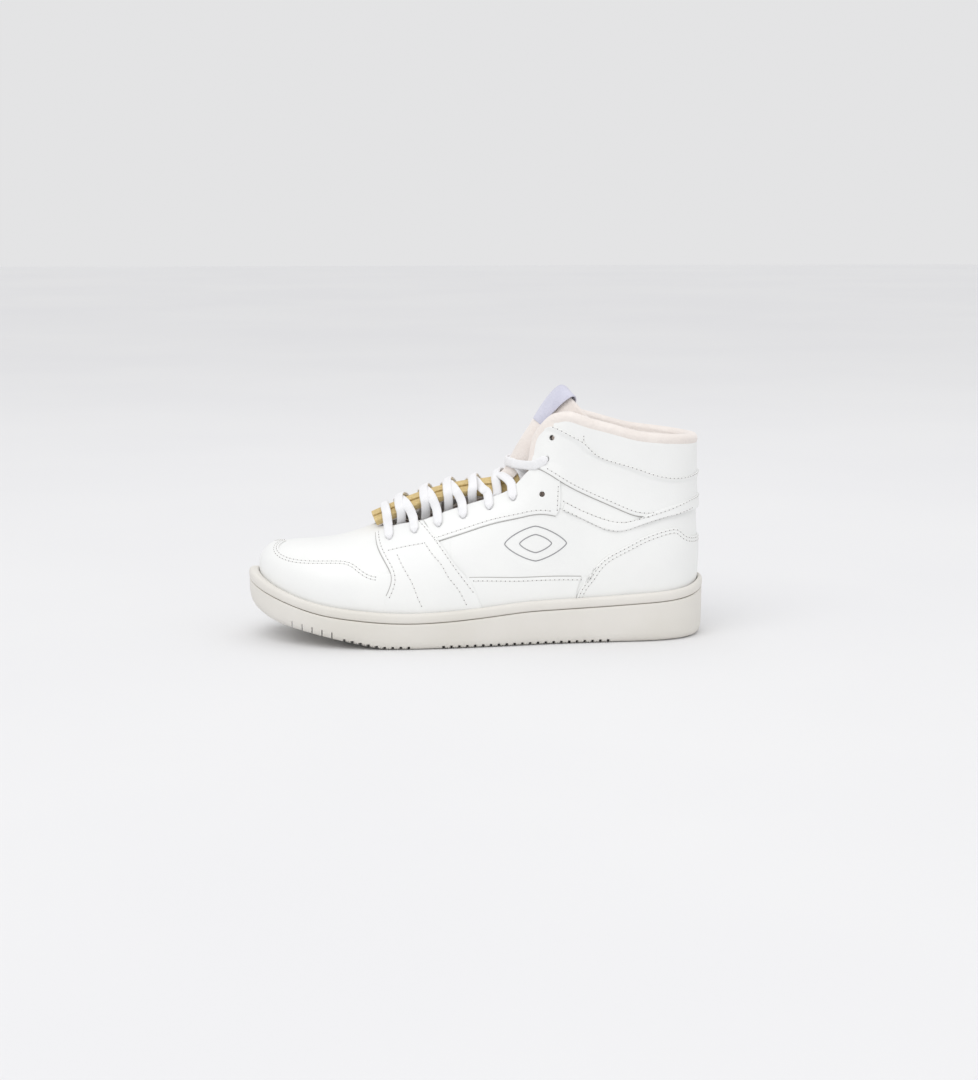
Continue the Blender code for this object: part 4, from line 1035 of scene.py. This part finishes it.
# ---------------------------------------------------------------- the tongue
# Bare tan foam, with a second strip of it along the middle, runs up under the laces; the upper flap is
# a soft pad covered in cream textile. A lavender ribbon is sewn to the flap and looped over its top.
RIBBON = (0.80, 0.84, 0.88, 0.92, 0.96, 1.0)               # places up the tongue the ribbon lies on
RIBBON_LIFT = (-0.6, -1.8, -2.7, -3.3, -3.5, -3.4)
RIBBON_LOOP = ((-2.6, 2.2), (-0.6, 3.7), (1.8, 4.0), (4.4, 3.4), (6.8, 2.2), (8.2, 0.2))   # depth, rise
RIBBON_BACK = ((0.985, 8.0), (0.955, 7.2))                 # place up the tongue, depth
STRIP_HALF = 0.52           # half width of the strip on the fixed part, as a share of the tongue's
FLAT_SHARE = 0.82           # share of the flap's cover that lies flat before it turns round the edge
FLAP_DEPTH = 5.4
FLAP_TOP = ((0.5, 0.8), (1.6, 1.4), (3.0, 1.6), (4.3, 1.3), (5.2, 0.6))     # depth, rise


def folded(obj, *nodes, slot):
    """a layer of the tongue, built bent where the throat ends: hides the nodes it stands for and works its
    placement into its mesh
    """
    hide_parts(*nodes)
    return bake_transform(obj)


tongue_u = np.linspace(0, 1, 150)
free = ease((tongue_u - FOLD_U + 0.06) / 0.05)[:, None]    # 0 on the fixed part, 1 on the flap
turn_w = np.linspace(-1, 1, 61)[None, :]
over_edge = np.clip((np.abs(turn_w) - FLAT_SHARE) / (1 - FLAT_SHARE), 0, 1)
flat_part = np.clip(np.abs(turn_w) / FLAT_SHARE, 0, 1)
flap_v = np.sign(turn_w) * (flat_part * 0.97 + 0.07 * np.sin(over_edge * math.pi))
flap_depth = FLAP_DEPTH * ease(over_edge)
cover_v = turn_w * STRIP_HALF * (1 - free) + flap_v * free
cover_depth = flap_depth * free
cover_points = np.array([tongue_points(np.array([u]), v, d[None, :, None])[0]
                         for u, v, d in zip(tongue_u, cover_v, cover_depth)])
end_way = tongue_frame(np.array([1.0]))[1][0]
end_way = np.array((-end_way[1], 0, end_way[0]))
top_rows = []
for sink, rise in FLAP_TOP:
    deep = np.maximum(cover_depth[-1], sink)
    top_rows.append(tongue_points(np.array([1.0]), cover_v[-1], deep[None, :, None])[0]
                    + end_way * rise * (1 - 0.6 * over_edge[0][:, None]))
cover = sheet_of("tongue_cover", np.concatenate([cover_points, top_rows]), LINING_TEXTILE, 1.1, 0)
cover.data.materials.append(TAN_FOAM)
flap_foot = over_tongue(10, 0)[2] * MM
for face in cover.data.polygons:
    face.material_index = int(face.center.z < flap_foot)
folded(cover, "tongue_base_face", "tongue_flap_face", slot="white_leather")

padding_u = np.linspace(0, 0.992, 110)
padding_v = np.linspace(-1, 1, 41)
padding = sheet_of("tongue_padding", tongue_points(padding_u, padding_v, 1.25), TAN_FOAM, 3.9, 0.5)
folded(padding, "tongue_base_foam", "tongue_flap_foam", slot="foam")
backing = sheet_of("tongue_backing", tongue_points(padding_u, padding_v * 0.98, 5.3), LINING_TEXTILE, 0.9)
folded(backing, "tongue_base_lining", "tongue_flap_lining", slot="lining")

ribbon_finish = textile("lavender_ribbon", (0.64, 0.64, 0.745), (0.56, 0.56, 0.67), 900.0)
ribbon_v = np.linspace(-0.5, 0.5, 31)
lying = [tongue_points(np.array([u]), ribbon_v, lift)[0] for u, lift in zip(RIBBON, RIBBON_LIFT)]
looped = [tongue_points(np.array([1.0]), ribbon_v, depth)[0] + end_way * rise for depth, rise in RIBBON_LOOP]
behind = [tongue_points(np.array([u]), ribbon_v, depth)[0] for u, depth in RIBBON_BACK]
ribbon_rows = np.array(lying + looped + behind)
fine = spline_weights(len(ribbon_rows), np.linspace(0, len(ribbon_rows) - 1, 70), False)
ribbon = sheet_of("ribbon_loop", np.einsum("ij,jkl->ikl", fine, ribbon_rows), ribbon_finish, 0.9, 0.2)
kept(ribbon, "tongue", "label", "tongue_label")


# ---------------------------------------------------------------- the stitching and the emblem
# White polyester thread, about nine stitches to the inch; at each end a dark bead of painted shade stands
# for the shadow in the needle hole. A plain rounded lozenge is printed in a thin grey line on each quarter.
PITCH = 2.9
THREAD = (1.05, 0.34, 0.26)                 # half sizes of a stitch: along, across, out
# half sizes of the dark bead of painted shade at each needle hole
NEEDLE_HOLE_SHADE = (0.42, 0.34, 0.16)
TOE_ROWS = (-1.3, -3.2)
WRAP_ROWS = (-1.2, -3.4)
PRINT_WIDTH = 0.7
EDGE_SHADOW_WIDTH = 0.55                           # the painted shadow line beside an overlay's edge
LOZENGE = (35.0, 65.0, 20.0, 11.0, 1.35)    # middle, half sizes, roundness
LOZENGES = (1.0, 0.52)                      # shares of that size: an outer and an inner outline
INNER_SEAMS = (                             # the saddle's window, both strap rows, eyestay end, collar tack
    ((-59, 61), (-51.7, 62.7), (-45, 64), (-37.5, 65.3)),
    ((-53.6, 58.4), (-49.9, 51), (-45, 42.5), (-42, 34.8), (-39, 27.9)),
    ((-36, 65.5), (-30.8, 58.3), (-25.7, 52.4), (-21.6, 45.2), (-15.5, 37.5), (-10.6, 28.3)),
    ((53.3, 91.6), (66, 85), (78.8, 80), (89.4, 77.5), (102.5, 79.6), (122.7, 85.2), (136, 89.5), (144, 91)),
    ((50.8, 86.9), (64.3, 80.7), (76.3, 74.8), (89.4, 72.1), (101.5, 75.1), (118, 79.8), (137, 84.4)),
    ((49, 86), (49.4, 94), (49.8, 101)),
    ((66, 129), (66, 133.4)),
)


def shifted(st, distance):
    """a line of (s, t) moved sideways over the last: up, for a line that runs towards the heel"""
    s, t = st.T
    step = 0.01
    by_s = (last(s + step, t) - last(s - step, t)) / (2 * step)
    by_t = (last(s, t + step) - last(s, t - step)) / (2 * step)
    _, _, beyond = edge_ways(st)
    a, b, c = (np.sum(p * q, 1) for p, q in ((by_s, by_s), (by_s, by_t), (by_t, by_t)))
    p, q = np.sum(by_s * beyond, 1) * distance, np.sum(by_t * beyond, 1) * distance
    away = a * c - b * b
    return st + np.stack([(p * c - q * b) / away, (a * q - b * p) / away], 1)


def resampled(st, pitch):
    """the line cut into equal lengths as near the pitch as fits"""
    p = last(st[:, 0], st[:, 1])
    run = np.concatenate([[0], np.cumsum(np.linalg.norm(np.diff(p, axis=0), axis=1))])
    at = np.linspace(0, run[-1], max(round(run[-1] / pitch), 1) + 1)
    return np.stack([np.interp(at, run, st[:, k]) for k in (0, 1)], 1)


def outer_face(objs):
    """a search tree over the outside of some panels"""
    bm = bmesh.new()
    for obj in objs:
        bm.from_mesh(obj.data)
    tree = BVHTree.FromBMesh(bm)
    bm.free()
    return tree


def seated(tree, st, lift):
    """points lift mm above the outermost panel, straight out from the last"""
    p, out = last(st[:, 0], st[:, 1]), normals(st[:, 0], st[:, 1])
    found = []
    for at, way in zip(p, out):
        hit = tree.ray_cast(Vector((at + way * 7) * MM), Vector(-way), 0.014)[0]
        found.append(at + way * (OVERLAY + lift) if hit is None else np.array(hit) / MM + way * lift)
    return np.array(found), out


def row_of_stitches():
    """node tree: one scaled bead on every point, turned to the point's own directions"""
    tree = bpy.data.node_groups.new("row_of_stitches", "GeometryNodeTree")
    tree.interface.new_socket("Geometry", in_out="INPUT", socket_type="NodeSocketGeometry")
    for name in ("Length", "Width", "Height"):
        tree.interface.new_socket(name, in_out="INPUT", socket_type="NodeSocketFloat")
    tree.interface.new_socket("Finish", in_out="INPUT", socket_type="NodeSocketMaterial")
    tree.interface.new_socket("Geometry", in_out="OUTPUT", socket_type="NodeSocketGeometry")
    given = tree.nodes.new("NodeGroupInput").outputs
    bead = node(tree, "GeometryNodeMeshUVSphere", Segments=8, Rings=5, Radius=1.0)
    ways = []
    for name in ("along", "out"):
        way = node(tree, "GeometryNodeInputNamedAttribute", data_type="FLOAT_VECTOR")
        way.inputs["Name"].default_value = name
        ways.append(way.outputs["Attribute"])
    turn = node(tree, "FunctionNodeAxesToRotation", primary_axis="X", secondary_axis="Z")
    tree.links.new(ways[0], turn.inputs[0])
    tree.links.new(ways[1], turn.inputs[1])
    size = node(tree, "ShaderNodeCombineXYZ", [("X", given["Length"]), ("Y", given["Width"]),
                                              ("Z", given["Height"])])
    placed = node(tree, "GeometryNodeInstanceOnPoints",
                  [("Points", given["Geometry"]), ("Instance", bead.outputs["Mesh"]),
                   ("Rotation", turn.outputs[0]), ("Scale", size.outputs[0])])
    real = node(tree, "GeometryNodeRealizeInstances", [("Geometry", placed.outputs[0])])
    painted = node(tree, "GeometryNodeSetMaterial", [("Geometry", real.outputs[0]),
                                                     ("Material", given["Finish"])])
    smooth = node(tree, "GeometryNodeSetShadeSmooth", [("Geometry", painted.outputs[0])])
    out = tree.nodes.new("NodeGroupOutput")
    tree.links.new(smooth.outputs[0], out.inputs[0])
    return tree


def beads(name, places, along, out, half_sizes, finish):
    """one object with a bead at each place, made by the stitch tree"""
    mesh = bpy.data.meshes.new(name)
    mesh.from_pydata([tuple(p * MM) for p in places], [], [])
    for key, ways in (("along", along), ("out", out)):
        mesh.attributes.new(key, "FLOAT_VECTOR", "POINT").data.foreach_set("vector", np.ravel(ways))
    obj = bpy.data.objects.new(name, mesh)
    bpy.context.scene.collection.objects.link(obj)
    sewing = obj.modifiers.new("sewing", "NODES")
    sewing.node_group = STITCH_TREE
    inputs = {k.name: k.identifier for k in STITCH_TREE.interface.items_tree if k.in_out == "INPUT"}
    for key, half in zip(("Length", "Width", "Height"), half_sizes):
        sewing[inputs[key]] = half * MM
    sewing[inputs["Finish"]] = finish
    obj = plain(obj)
    for key in ("along", "out"):
        if key in obj.data.attributes:
            obj.data.attributes.remove(obj.data.attributes[key])
    return obj


def print_or_shadow_strip(name, tree, lines, width, finish, lift=0.1):
    """thin strips of print, or of painted shadow beside panel edges, lying on the panels"""
    bm = bmesh.new()
    for st in lines:
        sides = [seated(tree, shifted(st, k * width / 2), lift)[0] for k in (-1, 1)]
        low, high = ([bm.verts.new(p * MM) for p in side] for side in sides)
        for i in range(len(low) - 1):
            bm.faces.new((low[i], low[i + 1], high[i + 1], high[i]))
    return piece(name, bm, finish)


def other_side(st):
    """a line of (s, t) on the other side of the shoe"""
    return mirrored(st[:, None])[:, 0]


STITCH_TREE = row_of_stitches()
thread_finish, _, _ = shader_of("sewing_thread", (0.80, 0.795, 0.775), 0.6)
# painted shade: near-black beads stand for the shadow inside each needle hole
hole_shade_finish, _, _ = shader_of("needle_hole_shade", (0.20, 0.19, 0.18), 0.9)
print_finish, _, _ = shader_of("grey_print", (0.30, 0.30, 0.31), 0.6)
# painted shadow: mid grey for the strips along the overlays' edges
edge_shadow_finish, _, _ = shader_of("edge_shadow", (0.50, 0.49, 0.475), 0.8)

toe_half = toe_line[toe_line[:, 0] <= 3.4]
wrap_line = np.concatenate([curve(WRAP_TOP[:3], 40)[8:-2], curve(WRAP_TOP[2:], 90)[1:]])
wrap_line = resampled(wrap_line, 1.5)
rows = [shifted(toe_half[toe_half[:, 0] > 0.02], d) for d in TOE_ROWS]
rows += [shifted(wrap_line, d) for d in WRAP_ROWS]
rows += [shifted(curve(SADDLE_FRONT[1:], 60), -2.0), shifted(curve(SADDLE_REAR[1:], 60), 1.6),
         shifted(curve(EYESTAY_FOOT, 60)[:-3], 2.4), shifted(curve(foxing_top, 60)[6:], -2.0),
         shifted(curve(WING_FOOT, 90)[4:-34], 2.3), shifted(curve(BAND_FOOT, 90), 1.3)]
rows += [curve(points, 60) for points in INNER_SEAMS]
middle_x, middle_z, half_x, half_z, power = LOZENGE
angle = np.linspace(0, 2 * math.pi, 73)
lozenges = []
for share in LOZENGES:
    x = middle_x + share * half_x * np.sign(np.cos(angle)) * np.abs(np.cos(angle)) ** (2 / power)
    z = middle_z + share * half_z * np.sign(np.sin(angle)) * np.abs(np.sin(angle)) ** (2 / power)
    lozenges.append(resampled(np.array([find(*k) for k in zip(x, z)]), 0.9))
# painted shadow: strips laid just beyond the edges of the eyestay, wing, saddle and foxing, where their step
# casts shade
crevice_shadows = [shifted(curve(EYESTAY_FOOT, 80), -0.35), shifted(curve(WING_FOOT, 110)[:-44], -0.35),
            shifted(curve(SADDLE_FRONT[1:], 80), 0.35), shifted(curve(foxing_top, 60)[4:], 0.3)]

for side, word in ((-1, "outer"), (1, "inner")):
    panels = outer_face([vamp, toe_cap, heel_wrap, heel_strap, collar_band, quarter[side], eyestay[side],
                         foxing[side], saddle[side], wing[side]])
    turned = [k if side < 0 else other_side(k) for k in rows]
    threads, holes = [], []
    for row in turned:
        knots = resampled(row, PITCH)
        ends, ends_out = seated(panels, knots, -0.02)
        mids, mids_out = seated(panels, (knots[1:] + knots[:-1]) / 2, 0.06)
        ways = ends[1:] - ends[:-1]
        threads.append(np.stack([mids, ways, mids_out], 1))
        # places of the dark beads of painted shade at the needle holes
        holes.append(np.stack([ends, np.gradient(ends, axis=0), ends_out], 1))
    for name, made, sizes, finish in (("stitches_", threads, THREAD, thread_finish),
                                      ("hole_shade_beads_", holes, NEEDLE_HOLE_SHADE, hole_shade_finish)):
        made = np.concatenate(made)
        kept(beads(name + word, made[:, 0], made[:, 1], made[:, 2], sizes, finish), "shoe", "white_leather")
    emblem = [k if side < 0 else other_side(k) for k in lozenges]
    kept(print_or_shadow_strip("emblem_" + word, panels, emblem, PRINT_WIDTH, print_finish), "shoe", "label")
    shadow_lines = [k if side < 0 else other_side(k) for k in crevice_shadows]
    # painted shadow strips along the overlays' edges
    edges = print_or_shadow_strip("edge_shadows_" + word, panels, shadow_lines, EDGE_SHADOW_WIDTH, edge_shadow_finish, 0.07)
    kept(edges, "shoe", "white_leather")
